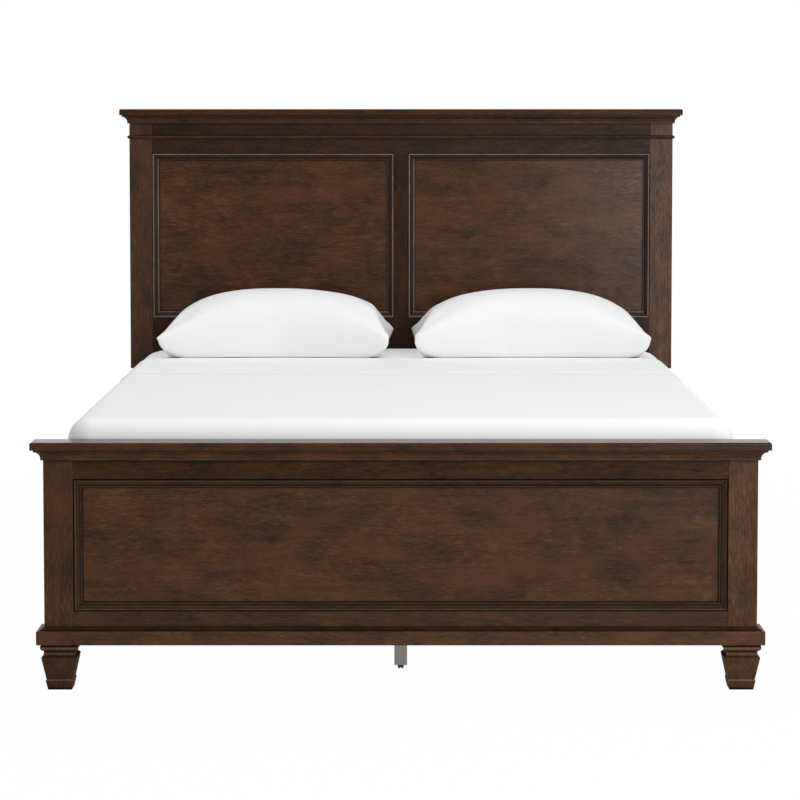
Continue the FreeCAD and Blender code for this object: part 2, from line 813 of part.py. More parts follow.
plinth_reach = half_span + size.plinth_overhang
plinth = eased_board("footboard_plinth_board",
                     (-plinth_reach, foot_face - size.plinth_overhang, size.foot_height),
                     (plinth_reach, foot_face + size.post_width + size.plinth_overhang, plinth_top),
                     size.plinth_edge_radius, size.plinth_edge_radius)
sub_part("footboard_plinth", cut("footboard_plinth", plinth, *foot_bolts))

# Side rails with a cleat along the inside for the slats

first_slat = foot_back + size.slat_end_margin
slat_pitch = (head_face - size.slat_end_margin - first_slat) / (SLAT_COUNT - 1)
slat_places = [first_slat + slat_pitch * count for count in range(SLAT_COUNT)]
cleat_middle = rail_inner - size.cleat_width / 2
slat_screws = {
    side: [turned(f"{side_name}_slat_screw", flat_screw,
                  (cleat_middle * side, where, size.mattress_base_height), DRIVEN_DOWN) for where in slat_places]
    for side, side_name in SIDE_NAMES.items()
}
for side, side_name in SIDE_NAMES.items():
    label = f"{side_name}_side_rail"
    least, most = spread(side, rail_inner, rail_outer)
    section = outline(label + "_section", FRONT_PLANE, rounded_rectangle(
        (least, side_rail_bottom), (most, side_rail_bottom + size.side_rail_height),
        size.side_rail_arris))
    stick = place(extrude(label + "_stick", section, Y_AXIS, leg_front - foot_back), (ZERO, foot_back, ZERO))
    sub_part(label, cut(label, stick, *rail_screws[side]))
    label = f"{side_name}_slat_cleat"
    least, most = spread(side, rail_inner - size.cleat_width, rail_inner)
    strip = box(label + "_strip", (least, foot_back, slat_bottom - size.cleat_height),
                (most, leg_front, slat_bottom))
    sub_part(label, cut(label, strip, *slat_screws[side]))
sub_part("slat_screws", group("slat_screws", slat_screws[LEFT] + slat_screws[RIGHT]))

# Slats, and a support leg under the first, the middle and the last of them

plate_bottom = slat_bottom - size.leg_plate_thickness
slat_half = rail_inner - size.slat_end_gap
slat_section = outline("slat_section", PROFILE_PLANE, rounded_rectangle(
    (-size.slat_width / 2, slat_bottom), (size.slat_width / 2, size.mattress_base_height), size.slat_arris))


def square(half, radius):
    return rounded_rectangle((-half, -half), (half, half), radius)


def support_leg(label, where, plate_screws):
    """A square steel tube with a plate welded on top, screwed up into its slat."""
    body = doc.addObject("PartDesign::Body", label + "_weldment")
    outer = size.support_leg_width / 2
    inner_radius = size.support_leg_radius - size.support_leg_wall
    padded(body, label + "_tube", plate_bottom - size.glide_height,
           square(outer, size.support_leg_radius), square(outer - size.support_leg_wall, inner_radius))
    long_half = size.leg_plate_length / 2
    wide_half = size.leg_plate_width / 2
    plate = padded(body, label + "_plate", size.leg_plate_thickness, rounded_rectangle(
        (-long_half, -wide_half), (long_half, wide_half), size.support_leg_radius))
    bind(plate.Profile[0], "AttachmentOffset.Base.z", plate_bottom - size.glide_height)
    place(body, (ZERO, where, size.glide_height))
    return sub_part(label, cut(label, body, *plate_screws))


def insert_blank(name, where):
    """The nylon insert pressed into the foot of the tube, with the bore that the stud screws through."""
    half = size.support_leg_width / 2 - size.support_leg_wall - size.insert_play
    section = outline(name + "_section", FLAT_PLANE, square(half, size.support_leg_radius - size.support_leg_wall))
    plug = place(extrude(name + "_plug", section, Z_AXIS, size.insert_height), (ZERO, where, size.glide_height))
    bore = doc.addObject("Part::Cylinder", name + "_bore")
    bind(bore, "Radius", size.stud_radius + size.thread_play)
    bind(bore, "Height", size.insert_height)
    place(bore, (ZERO, where, size.glide_height))
    return cut(name, plug, bore)


def glide_profiles():
    """Half sections of the nylon base with its socket, and of the stud whose neck stands in that socket."""
    socket = size.stud_neck_radius + size.socket_play
    base = outline("glide_base_profile", FRONT_PLANE, [
        (ZERO, ZERO),
        (size.glide_base_bottom_radius, ZERO),
        (size.glide_base_top_radius, size.glide_base_height),
        (socket, size.glide_base_height),
        (socket, size.glide_socket_floor),
        (ZERO, size.glide_socket_floor),
    ])
    stud = outline("glide_stud_profile", FRONT_PLANE, [
        (ZERO, size.glide_socket_floor),
        (size.stud_neck_radius, size.glide_socket_floor),
        (size.stud_neck_radius, size.glide_height),
        (size.stud_radius, size.glide_height),
        (size.stud_radius, size.glide_height + size.stud_length),
        (ZERO, size.glide_height + size.stud_length),
    ])
    corner = size.stud_nut_across / math.sqrt(3)
    sixths = [math.radians(60 * count) for count in range(6)]
    nut = outline("glide_nut_outline", FLAT_PLANE, [
        (corner * math.cos(angle), corner * math.sin(angle)) for angle in sixths])
    return base, stud, nut


glide_profile, stud_profile, nut_outline = glide_profiles()
nut_bottom = size.glide_base_height + size.swivel_gap
inserts = []
leg_screws = []
for number, where in enumerate(slat_places, start=1):
    label = f"slat_{number:02d}"
    stick = place(extrude(label + "_stick", slat_section, X_AXIS, slat_half * 2), (-slat_half, where, ZERO))
    screws = [slat_screws[side][number - 1] for side in SIDE_NAMES]
    if number in LEG_SLATS:
        ordinal = LEG_SLATS.index(number) + 1
        half = size.leg_screw_spacing / 2
        across = size.leg_plate_width / 2 - size.screw_head_radius * 2
        plate_screws = [
            turned(f"leg_{ordinal}_screw", pan_screw, (half * x, where + across * y, plate_bottom), DRIVEN_UP)
            for x in SIDE_NAMES for y in SIDE_NAMES]
        screws += plate_screws
        leg_screws += plate_screws
        support_leg(f"support_leg_{ordinal}", where, plate_screws)
        inserts.append(insert_blank(f"leg_insert_{ordinal}", where))
        slot_half = size.glide_slot_width / 2
        slot_reach = size.glide_base_top_radius
        slot = box(f"glide_{ordinal}_slot", (-slot_half, where - slot_reach, ZERO),
                   (slot_half, where + slot_reach, size.glide_slot_depth))
        blank = turned(f"glide_{ordinal}_blank", glide_profile, (ZERO, where, ZERO))
        base_label = f"glide_base_{ordinal}"
        sub_part(base_label, cut(base_label, blank, slot))
        pin = turned(f"glide_{ordinal}_pin", stud_profile, (ZERO, where, ZERO))
        nut = place(extrude(f"glide_{ordinal}_nut", nut_outline, Z_AXIS, size.glide_height - nut_bottom),
                    (ZERO, where, nut_bottom))
        stud_label = f"glide_stud_{ordinal}"
        sub_part(stud_label, fuse(stud_label, pin, nut))
    sub_part(label, cut(label, stick, *screws))
sub_part("leg_inserts", group("leg_inserts", inserts))
sub_part("leg_screws", group("leg_screws", leg_screws))

# Mattress, and the sheet that lies over it with its head end turned down


def bedding_block(label, growth, bottom):
    """The mattress's rounded block, or the same form grown all round by layers of sheet."""
    half = size.mattress_width / 2 + growth
    body = doc.addObject("PartDesign::Body", label)
    height = mattress_top + growth - bottom
    block = padded(body, label + "_block", height, rounded_rectangle(
        (-half, mattress_front - growth), (half, mattress_back + growth), size.mattress_corner_radius + growth))
    rounded(body, label + "_top_edge", block, size.mattress_edge_radius + growth,
            lambda edge: level_with(edge, height.value))
    return place(body, (ZERO, ZERO, bottom))


mattress = sub_part("mattress", bedding_block("mattress", ZERO, size.mattress_base_height))
hem = size.mattress_base_height + size.sheet_hem_height
fold = head_face - size.sheet_fold_from_headboard
turned_edge = fold - size.sheet_turn_down
wide = half_span
single = bedding_block("sheet_single", size.sheet_thickness, hem)
double = bedding_block("sheet_double", size.sheet_thickness * 2, hem)
covered = common("sheet_covered", single, box("sheet_reach", (-wide, foot_face, ZERO),
                                              (wide, fold, size.headboard_height)))
turned_back = common("sheet_turned_back", double, box("sheet_turn", (-wide, turned_edge, ZERO),
                                                      (wide, fold, size.headboard_height)))
sub_part("sheet", cut("sheet", fuse("sheet_layers", covered, turned_back), mattress))

# Pillows: a loft through lens-shaped sections, full in the middle, with drawn-in sides and thin sewn ends. Each
# section is a share of the half width, a share of the depth and how full it is, from the middle to one end.

PILLOW_HALF = ((0.0, 0.95, 1.0), (0.42, 0.97, 0.94), (0.78, 1.0, 0.72), (0.94, 0.95, 0.40), (1.0, 0.84, 0.0))
PILLOW_STATIONS = [(-along, share, full) for along, share, full in reversed(PILLOW_HALF[1:])] + list(PILLOW_HALF)


def swell(chord, rise):
    """Radius of the arc over a chord with the given rise."""
    return (chord * chord / 4 + rise * rise) / (rise * 2)


def pillow(label, centre):
    tip = size.pillow_tip_thickness / 2
    rest = mattress_top + size.rest_gap
    middle = head_face - size.pillow_headboard_gap - size.pillow_depth / 2
    sections = []
    for number, (along, depth_share, fullness) in enumerate(PILLOW_STATIONS, start=1):
        depth = size.pillow_depth * depth_share
        over = tip + (size.pillow_crown - tip) * fullness
        under = tip + (size.pillow_belly - tip) * fullness
        lens = outline(f"{label}_section_{number}", PROFILE_PLANE, [
            (-depth / 2, ZERO, swell(depth, over), IN_LEFT),
            (depth / 2, ZERO, swell(depth, under), IN_LEFT),
        ])
        place(lens, (size.pillow_width / 2 * along, ZERO, ZERO), PROFILE_PLANE)
        sections.append(lens)
    loft = doc.addObject("Part::Loft", label + "_loft")
    loft.Sections = sections
    loft.Solid = True
    bed = box(label + "_bed", (-size.pillow_width, -size.pillow_depth, -size.pillow_belly * 2),
              (size.pillow_width, size.pillow_depth, -size.pillow_seam_height))
    resting = cut(label, loft, bed)
    return sub_part(label, place(resting, (centre, middle, rest + size.pillow_seam_height)))


pillow_step = (size.pillow_width + size.pillow_gap) / 2
pillow("pillow_left", size.pillow_offset - pillow_step)
pillow("pillow_right", size.pillow_offset + pillow_step)

# Every object must be sound before anything is written

doc.recompute()
faults = [f"{made.Label}: {', '.join(made.State)}" for made in doc.Objects
          if "Invalid" in made.State or "Error" in made.State]
faults += [f"{made.Label}: bad shape" for made in sub_parts if made.Shape.isNull() or not made.Shape.isValid()]
faults += [f"{made.Label}: no solid" for made in sub_parts if not made.Shape.Solids]
if faults:
    raise RuntimeError("; ".join(faults))
os.makedirs("parts", exist_ok=True)
for made in sub_parts:
    made.Shape.exportStep(f"parts/{made.Label}.step")
print(f"{len(sub_parts)} pieces written")
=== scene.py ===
# The bed as it was made in CAD, loaded as the fixed frame that everything here is fitted to.
# Its box is kept from the start, and the soft pieces are fitted to the boxes of its parts.
import math

import bpy
import numpy as np
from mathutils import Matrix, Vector


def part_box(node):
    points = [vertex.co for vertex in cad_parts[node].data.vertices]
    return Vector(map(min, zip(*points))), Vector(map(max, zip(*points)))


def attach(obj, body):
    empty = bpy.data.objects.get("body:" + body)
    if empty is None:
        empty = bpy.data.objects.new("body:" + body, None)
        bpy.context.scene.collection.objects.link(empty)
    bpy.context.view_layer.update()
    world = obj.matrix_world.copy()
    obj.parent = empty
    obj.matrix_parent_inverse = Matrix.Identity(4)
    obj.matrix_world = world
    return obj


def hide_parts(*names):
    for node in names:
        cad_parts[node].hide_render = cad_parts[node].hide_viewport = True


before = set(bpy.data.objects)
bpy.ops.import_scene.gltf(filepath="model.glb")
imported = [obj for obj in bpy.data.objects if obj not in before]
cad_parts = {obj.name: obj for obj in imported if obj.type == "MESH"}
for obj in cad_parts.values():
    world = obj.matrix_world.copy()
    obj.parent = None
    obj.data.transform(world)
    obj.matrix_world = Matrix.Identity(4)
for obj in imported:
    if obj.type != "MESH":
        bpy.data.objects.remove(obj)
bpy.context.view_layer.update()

# Headboard posts: two square posts of solid birch, planed, with lightly eased arrises and upright grain.
# They are wiped with a dark brown stain, which the wood takes up in patches, and finished in satin lacquer.
# Each board has a shade of its own: a shade above 1 is lighter, and one below it darker. The right-hand
# boards are made lighter than the left-hand ones.
STAIN_BY_TONE = [(0.36, "#281A10"), (0.46, "#3B2617"), (0.54, "#482D1A"), (0.66, "#5C3A22")]
STAIN_RED = "#56321F"
STAIN_FLECK = "#84522B"

# Sizes of the wood's figure in metres, along and across the grain
PATCH = (0.095, 0.060)
BAND = (0.200, 0.012)
STREAK = (0.020, 0.0029)
FLECK = (0.010, 0.0035)
HEARTWOOD = (0.150, 0.070)

# How much of the tone comes from patches, bands and streaks. The shift keeps its mean at a half
PATCH_SHARE = 0.40
BAND_SHARE = 0.18
STREAK_SHARE = 0.57
TONE_SHIFT = (1 - PATCH_SHARE - BAND_SHARE - STREAK_SHARE) / 2

# How strongly red heartwood and flecks show, how far apart the boards lay in the log, how far glaze and
# painted shade reach out of a corner, and the lacquer's roughness on dark and on light streaks
RED_SHARE = 0.45
FLECK_SHARE = 0.45
LOG_REACH = 9
GLAZE_AND_SHADE_REACH = 0.012
SATIN_ROUGH = 0.38
SATIN_SMOOTH = 0.28


def linear(code, shade=1.0):
    """The linear colour of an sRGB hex code, darkened or lightened by a factor."""
    parts = [int(code[start:start + 2], 16) / 255 for start in (1, 3, 5)]
    light = [part / 12.92 if part <= 0.04045 else ((part + 0.055) / 1.055) ** 2.4 for part in parts]
    return [part * shade for part in light] + [1.0]


def add(tree, kind, inputs, **settings):
    """A shader node with its settings. Each input is a value, or a socket that is linked to it. Its key is
    the input's name, or its number where inputs share a name: in a Mix, 2 and 3 are numbers, 4 and 5 are
    vectors, and 6 and 7 are colours."""
    made = tree.nodes.new("ShaderNode" + kind)
    for name, value in settings.items():
        setattr(made, name, value)
    for key, value in inputs.items():
        if isinstance(value, bpy.types.NodeSocket):
            tree.links.new(value, made.inputs[key])
        else:
            made.inputs[key].default_value = value
    return made


def finish_of(name, **constants):
    """A new material with its node tree and its shader, whose constant sockets are set by name."""
    made = bpy.data.materials.new(name)
    made.use_nodes = True
    skin = made.node_tree.nodes["Principled BSDF"]
    for socket, value in constants.items():
        skin.inputs[socket.replace("_", " ")].default_value = value
    return made, made.node_tree, skin


def stops(ramp, colours):
    """Sets a colour ramp to (place, colour) pairs."""
    while len(ramp.elements) < len(colours):
        ramp.elements.new(0.5)
    for element, (place, colour) in zip(ramp.elements, colours):
        element.position = place
        element.color = colour


def stained_birch(name, along, shade=1.0, turned=None, gloss=0.10, dull=0.0, wiped_and_lit=None):
    """Stained and lacquered birch. The eye sees cloudy dark and light patches a hand wide where the stain
    took unevenly, fine streaks along the grain, a few orange flecks, dark stain glazed into the corners with
    painted shade there too, and a satin sheen, which dull makes rougher, or smoother where it is negative.
    Grain runs along one axis, or along a second one on the bars that turned=(axis, centre, edge) picks out.
    Rubbing with a cloth lightens crests and leaves stain in hollows, and painted highlights and painted shade
    go with it: wiped is a function that draws them, from the node tree, the place on the piece and the name
    of the piece."""
    birch, tree, skin = finish_of("stained_birch_" + name, Specular_IOR_Level=gloss)
    axes = {"x": (0, 1, 2), "y": (1, 0, 2), "z": (2, 1, 0)}
    place = add(tree, "SeparateXYZ", {0: add(tree, "TexCoord", {}).outputs["Object"]}).outputs
    grain = add(tree, "CombineXYZ", {slot: place[axis] for slot, axis in enumerate(axes[along])}).outputs[0]
    if turned:
        axis, centre, edge = turned
        other = add(tree, "CombineXYZ", {slot: place[at] for slot, at in enumerate(axes[axis])}).outputs[0]
        aside = add(tree, "Math", {0: place[0], 1: centre[0]}, operation="SUBTRACT").outputs[0]
        aside = add(tree, "Math", {0: aside}, operation="ABSOLUTE").outputs[0]
        inward = add(tree, "Math", {0: place[axes[axis][0]], 1: centre[1]}, operation="SUBTRACT").outputs[0]
        sign = "ABSOLUTE" if axis == "z" else "MULTIPLY"
        inward = add(tree, "Math", {0: inward, 1: -1.0}, operation=sign).outputs[0]
        past = add(tree, "Math", {0: aside, 1: inward}, operation="SUBTRACT").outputs[0]
        past = add(tree, "Math", {0: past, 1: edge}, operation="GREATER_THAN").outputs[0]
        grain = add(tree, "Mix", {0: past, 4: grain, 5: other}, data_type="VECTOR").outputs[1]
    # Each board is cut from another part of the log
    draw = np.random.default_rng(sum(map(ord, name)))
    log = [float(x) for x in draw.uniform(-LOG_REACH, LOG_REACH, 3)]
    grain = add(tree, "VectorMath", {0: grain, 1: log}, operation="ADD").outputs[0]

    def figure(size, detail, roughness, distortion):
        """Noise whose features have a size, along the grain and across it."""
        length, width = size
        stretch = (1 / length, 1 / width, 1 / width)
        drawn = add(tree, "VectorMath", {0: grain, 1: stretch}, operation="MULTIPLY").outputs[0]
        return add(tree, "TexNoise", {"Vector": drawn, "Scale": 1.0, "Detail": detail,
                                      "Roughness": roughness, "Distortion": distortion}).outputs[0]

    patches = figure(PATCH, detail=5.0, roughness=0.58, distortion=0.5)
    bands = figure(BAND, detail=2.0, roughness=0.5, distortion=0.3)
    streaks = figure(STREAK, detail=3.0, roughness=0.62, distortion=0.0)
    flecks = figure(FLECK, detail=3.0, roughness=0.60, distortion=0.9)
    heart = figure(HEARTWOOD, detail=3.0, roughness=0.55, distortion=0.6)
    tone = TONE_SHIFT
    for part, share in ((bands, BAND_SHARE), (streaks, STREAK_SHARE), (patches, PATCH_SHARE)):
        tone = add(tree, "Math", {0: part, 1: share, 2: tone}, operation="MULTIPLY_ADD").outputs[0]
    stain = add(tree, "ValToRGB", {0: tone})
    stops(stain.color_ramp, [(at, linear(code, shade)) for at, code in STAIN_BY_TONE])
    stain = stain.outputs[0]
    reddish = add(tree, "MapRange", {"Value": heart, "From Min": 0.46, "From Max": 0.66,
                                     "To Max": RED_SHARE}).outputs[0]
    red = linear(STAIN_RED, shade)
    stain = add(tree, "Mix", {0: reddish, 6: stain, 7: red}, data_type="RGBA").outputs[2]
    bright = add(tree, "MapRange", {"Value": tone, "From Min": 0.47, "From Max": 0.60}).outputs[0]
    caught = add(tree, "MapRange", {"Value": flecks, "From Min": 0.58, "From Max": 0.74,
                                    "To Max": FLECK_SHARE}).outputs[0]
    caught = add(tree, "Math", {0: caught, 1: bright}, operation="MULTIPLY").outputs[0]
    orange = linear(STAIN_FLECK, shade)
    colour = add(tree, "Mix", {0: caught, 6: stain, 7: orange}, data_type="RGBA").outputs[2]
    if wiped_and_lit:
        # A wiped piece takes its colour from a pattern of wear with painted highlights and painted shade,
        # scaled by tone
        rubbed_and_lit = wiped_and_lit(tree, place, name)
        uneven = add(tree, "MapRange", {"Value": tone, "From Min": 0.35, "From Max": 0.65,
                                        "To Min": 0.6 * shade, "To Max": 1.4 * shade}).outputs[0]
        colour = add(tree, "VectorMath", {0: rubbed_and_lit, "Scale": uneven}, operation="SCALE").outputs[0]
    # Glaze and painted shade in the inside corners, darkened by ambient occlusion in lines 2 to 4 mm wide
    corners = add(tree, "AmbientOcclusion", {"Distance": GLAZE_AND_SHADE_REACH}, samples=8).outputs["AO"]
    glaze_and_shade = add(tree, "MapRange", {"Value": corners, "From Min": 0.52, "From Max": 0.88,
                                   "To Min": 0.04}).outputs[0]
    colour = add(tree, "VectorMath", {0: colour, "Scale": glaze_and_shade}, operation="SCALE").outputs[0]
    tree.links.new(colour, skin.inputs["Base Color"])
    sheen = add(tree, "MapRange", {"Value": streaks, "From Min": 0.3, "From Max": 0.7,
                                   "To Min": SATIN_ROUGH + dull, "To Max": SATIN_SMOOTH + dull}).outputs[0]
    tree.links.new(sheen, skin.inputs["Roughness"])
    # Open pores, drawn as wide as the streaks because real ones are too fine to show
    pores = add(tree, "Bump", {"Height": streaks, "Strength": 0.2, "Distance": 0.0003}).outputs[0]
    tree.links.new(pores, skin.inputs["Normal"])
    return birch


def dress(name, material):
    """Gives a piece of the frame its finish."""
    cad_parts[name].material_slots[0].material = material


for side, shade in (("left", 0.85), ("right", 1.18)):
    post = f"headboard_{side}_post"
    dress(post, stained_birch(post, "z", shade, gloss=0.14))

# Headboard rails and mid stile: flat birch boards tenoned between the posts, a little behind their faces.
# They take a darker stain than the panels that they frame.
for rail in ("headboard_top_rail", "headboard_bottom_rail"):
    dress(rail, stained_birch(rail, "x", 0.46, gloss=0.08))
dress("headboard_mid_stile", stained_birch("headboard_mid_stile", "z", 0.50, gloss=0.05))

# Headboard panels: birch veneer pressed on board, held loose in the frame's grooves.
# The veneer lies flat under a smoother coat of lacquer, so its cloudy figure and its sheen show best here.
for side, shade in (("left", 1.05), ("right", 1.09)):
    panel = f"headboard_{side}_panel"
    dress(panel, stained_birch(panel, "x", shade, gloss=0.085, dull=-0.12))

# Headboard panel mouldings: milled birch strips with a bead, a quirk and a cove, mitred and glued round each
# panel, with the grain along each strip. The bead's crest is worn light with a painted highlight, and the
# joints, the quirk and the cove hold glaze and painted shade. The left and bottom bars get a lit copy, with
# a painted highlight on the inner fillet, and the top and right bars a shaded copy.
WORN_SHADED_BARS = [(0.0, "#150B06"), (0.0016, "#2A1A11"), (0.0034, "#86746A"), (0.0052, "#3E2B1E"),
                (0.010, "#38251A"), (0.0135, "#201209"), (0.0165, "#34231A"), (0.020, "#4A3324")]
WORN_LIT_BARS = [(0.0, "#150B06"), (0.0016, "#2A1A11"), (0.0034, "#86746A"), (0.0052, "#4A3627"),
                 (0.009, "#2C1C12"), (0.0135, "#241710"), (0.0158, "#725E51"), (0.0180, "#6C584B"),
                 (0.020, "#2A1B12")]


def by_distance(tree, distance, colours):
    """The colour at a distance, from (metres, sRGB code) pairs that start at 0."""
    reach = colours[-1][0]
    part = add(tree, "MapRange", {"Value": distance, "From Max": reach}).outputs[0]
    ramp = add(tree, "ValToRGB", {0: part})
    stops(ramp.color_ramp, [(place / reach, linear(code)) for place, code in colours])
    return ramp.outputs[0]


def worn_and_lit_frame(lit_left_and_bottom, shaded_top_and_right):
    """The colours of a frame of mouldings by the distance in from its outer edge: wear and glazing, with
    painted highlights on the crests and painted shade in the hollows, lit on the left and bottom bars and
    shaded on the top and right bars.
    """
    def draw(tree, place, name):
        low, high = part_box(name)
        middle = (low + high) / 2
        inward = []
        beyond = []
        for axis in (0, 2):
            aside = add(tree, "Math", {0: place[axis], 1: middle[axis]}, operation="SUBTRACT").outputs[0]
            beyond.append(add(tree, "Math", {0: aside, 1: 0.0}, operation="GREATER_THAN").outputs[0])
            aside = add(tree, "Math", {0: aside}, operation="ABSOLUTE").outputs[0]
            half = high[axis] - middle[axis]
            inward.append(add(tree, "Math", {0: half, 1: aside}, operation="SUBTRACT").outputs[0])
        # The top and right bars take the shaded copy of the colours, the left and bottom bars the lit copy
        level = add(tree, "Math", {0: inward[1], 1: inward[0]}, operation="LESS_THAN").outputs[0]
        far = add(tree, "Mix", {0: level, 2: beyond[0], 3: beyond[1]}).outputs[0]
        inward = add(tree, "Math", {0: inward[0], 1: inward[1]}, operation="MINIMUM").outputs[0]
        lit_bars = by_distance(tree, inward, lit_left_and_bottom)
        shaded_bars = by_distance(tree, inward, shaded_top_and_right)
        return add(tree, "Mix", {0: far, 6: lit_bars, 7: shaded_bars}, data_type="RGBA").outputs[2]

    return draw


def mitred(name):
    """Which bars of a panel moulding stand upright: its centre, and how much wider than high its frame is."""
    low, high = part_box(name)
    middle = (low + high) / 2
    return "z", (middle.x, middle.z), (high.x - low.x - high.z + low.z) / 2


for side in ("left", "right"):
    moulding = f"headboard_{side}_panel_moulding"
    dress(moulding, stained_birch(moulding, "x", 1.0, mitred(moulding),
                                  wiped_and_lit=worn_and_lit_frame(WORN_LIT_BARS, WORN_SHADED_BARS)))

# Headboard bead, cove and cap: a half-round bead and a cove moulding with mitred returns, glued across the
# posts and the top rail, and a birch board with eased edges laid on top.


def returned(name):
    """Which bars of a moulding run back along the board's ends, past a mitre at its front corners."""
    low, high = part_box(name)
    return "y", (0.0, low.y), high.x


for moulding in ("headboard_bead", "headboard_cove"):
    dress(moulding, stained_birch(moulding, "x", 0.8, returned(moulding)))
dress("headboard_cap", stained_birch("headboard_cap", "x", 0.75, gloss=0.06))

# Headboard legs and their bolts: two birch boards behind the posts that carry the headboard to the floor.
# Each is held by two zinc-plated coach bolts sunk into its back.
ZINC_DULL = "#A4A6A6"
ZINC_BRIGHT = "#C6C8C7"
SPANGLE = 0.004

for side in ("left", "right"):
    leg = f"headboard_{side}_leg"
    dress(leg, stained_birch(leg, "z", 0.7))


def zinc_plate(name):
    """Steel with a thin zinc plating: a cool bright grey metal, dulled in soft spangles about 4 mm wide."""
    zinc, tree, skin = finish_of("zinc_plated_steel_" + name, Metallic=1.0)
    place = add(tree, "TexCoord", {}).outputs["Object"]
    spangle = add(tree, "TexNoise", {"Vector": place, "Scale": 1 / SPANGLE, "Detail": 2.0}).outputs[0]
    tint = add(tree, "ValToRGB", {0: spangle})
    stops(tint.color_ramp, [(0.35, linear(ZINC_DULL)), (0.65, linear(ZINC_BRIGHT))])
    tree.links.new(tint.outputs[0], skin.inputs["Base Color"])
    dull = add(tree, "MapRange", {"Value": spangle, "From Min": 0.3, "From Max": 0.7,
                                  "To Min": 0.30, "To Max": 0.46}).outputs[0]
    tree.links.new(dull, skin.inputs["Roughness"])
    return zinc


dress("headboard_leg_bolts", zinc_plate("leg_bolts"))

# Footboard posts and rails: square birch posts with flat rails tenoned between them, as on the headboard.
# Each board has its own shade, and the right-hand ones are made lighter than the left-hand ones.
for side, shade in (("left", 0.90), ("right", 1.26)):
    post = f"footboard_{side}_post"
    dress(post, stained_birch(post, "z", shade))
for rail, shade, gloss in (("footboard_top_rail", 0.69, 0.05), ("footboard_bottom_rail", 0.82, 0.12)):
    dress(rail, stained_birch(rail, "x", shade, gloss=gloss))

# Footboard panel and its moulding: one wide veneered panel with a mitred birch moulding round it.
# This moulding is worn less, so that its crests stay brown under weaker painted highlights, and painted
# shadow makes its outer joint a broad dark line. Its bars have lit and shaded copies, as on the headboard.
FOOT_WORN_SHADED_BARS = [(0.0, "#080301"), (0.0030, "#150A04"), (0.0052, "#543E2F"), (0.0075, "#442F21"),
               (0.0125, "#3E2A1D"), (0.0150, "#26160C"), (0.0172, "#402D20"), (0.020, "#301E13")]
FOOT_WORN_LIT_BARS = [(0.0, "#0C0502"), (0.0022, "#140A04"), (0.0045, "#57432F"), (0.0065, "#3A281A"),
                (0.011, "#3E2B1E"), (0.0145, "#2A1A10"), (0.0168, "#4A3628"), (0.0186, "#2C1B10"),
                (0.020, "#38261A")]
dress("footboard_panel", stained_birch("footboard_panel", "x", 1.10, dull=-0.08))
dress("footboard_panel_moulding",
      stained_birch("footboard_panel_moulding", "x", 1.0, mitred("footboard_panel_moulding"), gloss=0.05,
                    wiped_and_lit=worn_and_lit_frame(FOOT_WORN_LIT_BARS, FOOT_WORN_SHADED_BARS)))

# Footboard cove, cap, base moulding and plinth: the same cove and cap as above, and below the posts a small
# moulding on a thick birch plinth that carries the board's weight to the feet.
for moulding, shade, gloss in (("footboard_cove", 1.05, 0.10), ("footboard_base_moulding", 0.6, 0.03)):
    dress(moulding, stained_birch(moulding, "x", shade, returned(moulding), gloss))
dress("footboard_cap", stained_birch("footboard_cap", "x", 0.92, gloss=0.10, dull=-0.14))
dress("footboard_plinth", stained_birch("footboard_plinth", "x", 1.12, gloss=0.13))

# Feet and their bolts: square birch blocks shaped with a ring, a neck and a taper, bolted up into the posts.
# The ring, the shoulder and the step above the toe are worn light and carry painted highlights, and the
# grooves between them are darkened with painted shade.
FOOT_WORN_AND_LIT = [(0.0, "#1E130C"), (0.004, "#473123"), (0.0195, "#473123"), (0.0225, "#6C5140"),
               (0.025, "#432E21"), (0.073, "#483224"), (0.078, "#281A11"), (0.082, "#624738"),
               (0.086, "#523A2B"), (0.089, "#26180F"), (0.093, "#4E3628"), (0.097, "#6C5242"),
               (0.101, "#4A3325"), (0.105, "#281A11")]


def worn_and_lit_foot(tree, place, name):
    """The colours of a foot by the height above the floor, with painted highlights and painted shade."""
    return by_distance(tree, place[2], FOOT_WORN_AND_LIT)


for side, shade in (("left", 0.95), ("right", 1.25)):
    foot = f"footboard_{side}_foot"
    dress(foot, stained_birch(foot, "z", shade, gloss=0.03, dull=0.4, wiped_and_lit=worn_and_lit_foot))
dress("foot_bolts", zinc_plate("foot_bolts"))

# Side rails: long birch boards on edge, stained like the rest, that join the headboard to the footboard.
# A bracket inside each corner holds them.
for side in ("left", "right"):
    rail = f"{side}_side_rail"
    dress(rail, stained_birch(rail, "y", 0.9))

# Rail brackets and their screws: bent steel angles with zinc plating, one in each corner of the frame.
# Two screws hold each of a bracket's legs.
dress("rail_brackets", zinc_plate("brackets"))
dress("bracket_screws", zinc_plate("bracket_screws"))

# Cleats and slats: planed pine, left bare, pale with yellow-brown year lines.
# The cleats are screwed along the insides of the rails, and nine slats lie across them.
PINE_BY_YEAR = [(0.35, "#B98A52"), (0.48, "#D8B37E"), (0.65, "#E3C797")]
YEAR_LENGTH = 0.35
YEAR_WIDTH = 0.006
PINE_LOG_REACH = 5


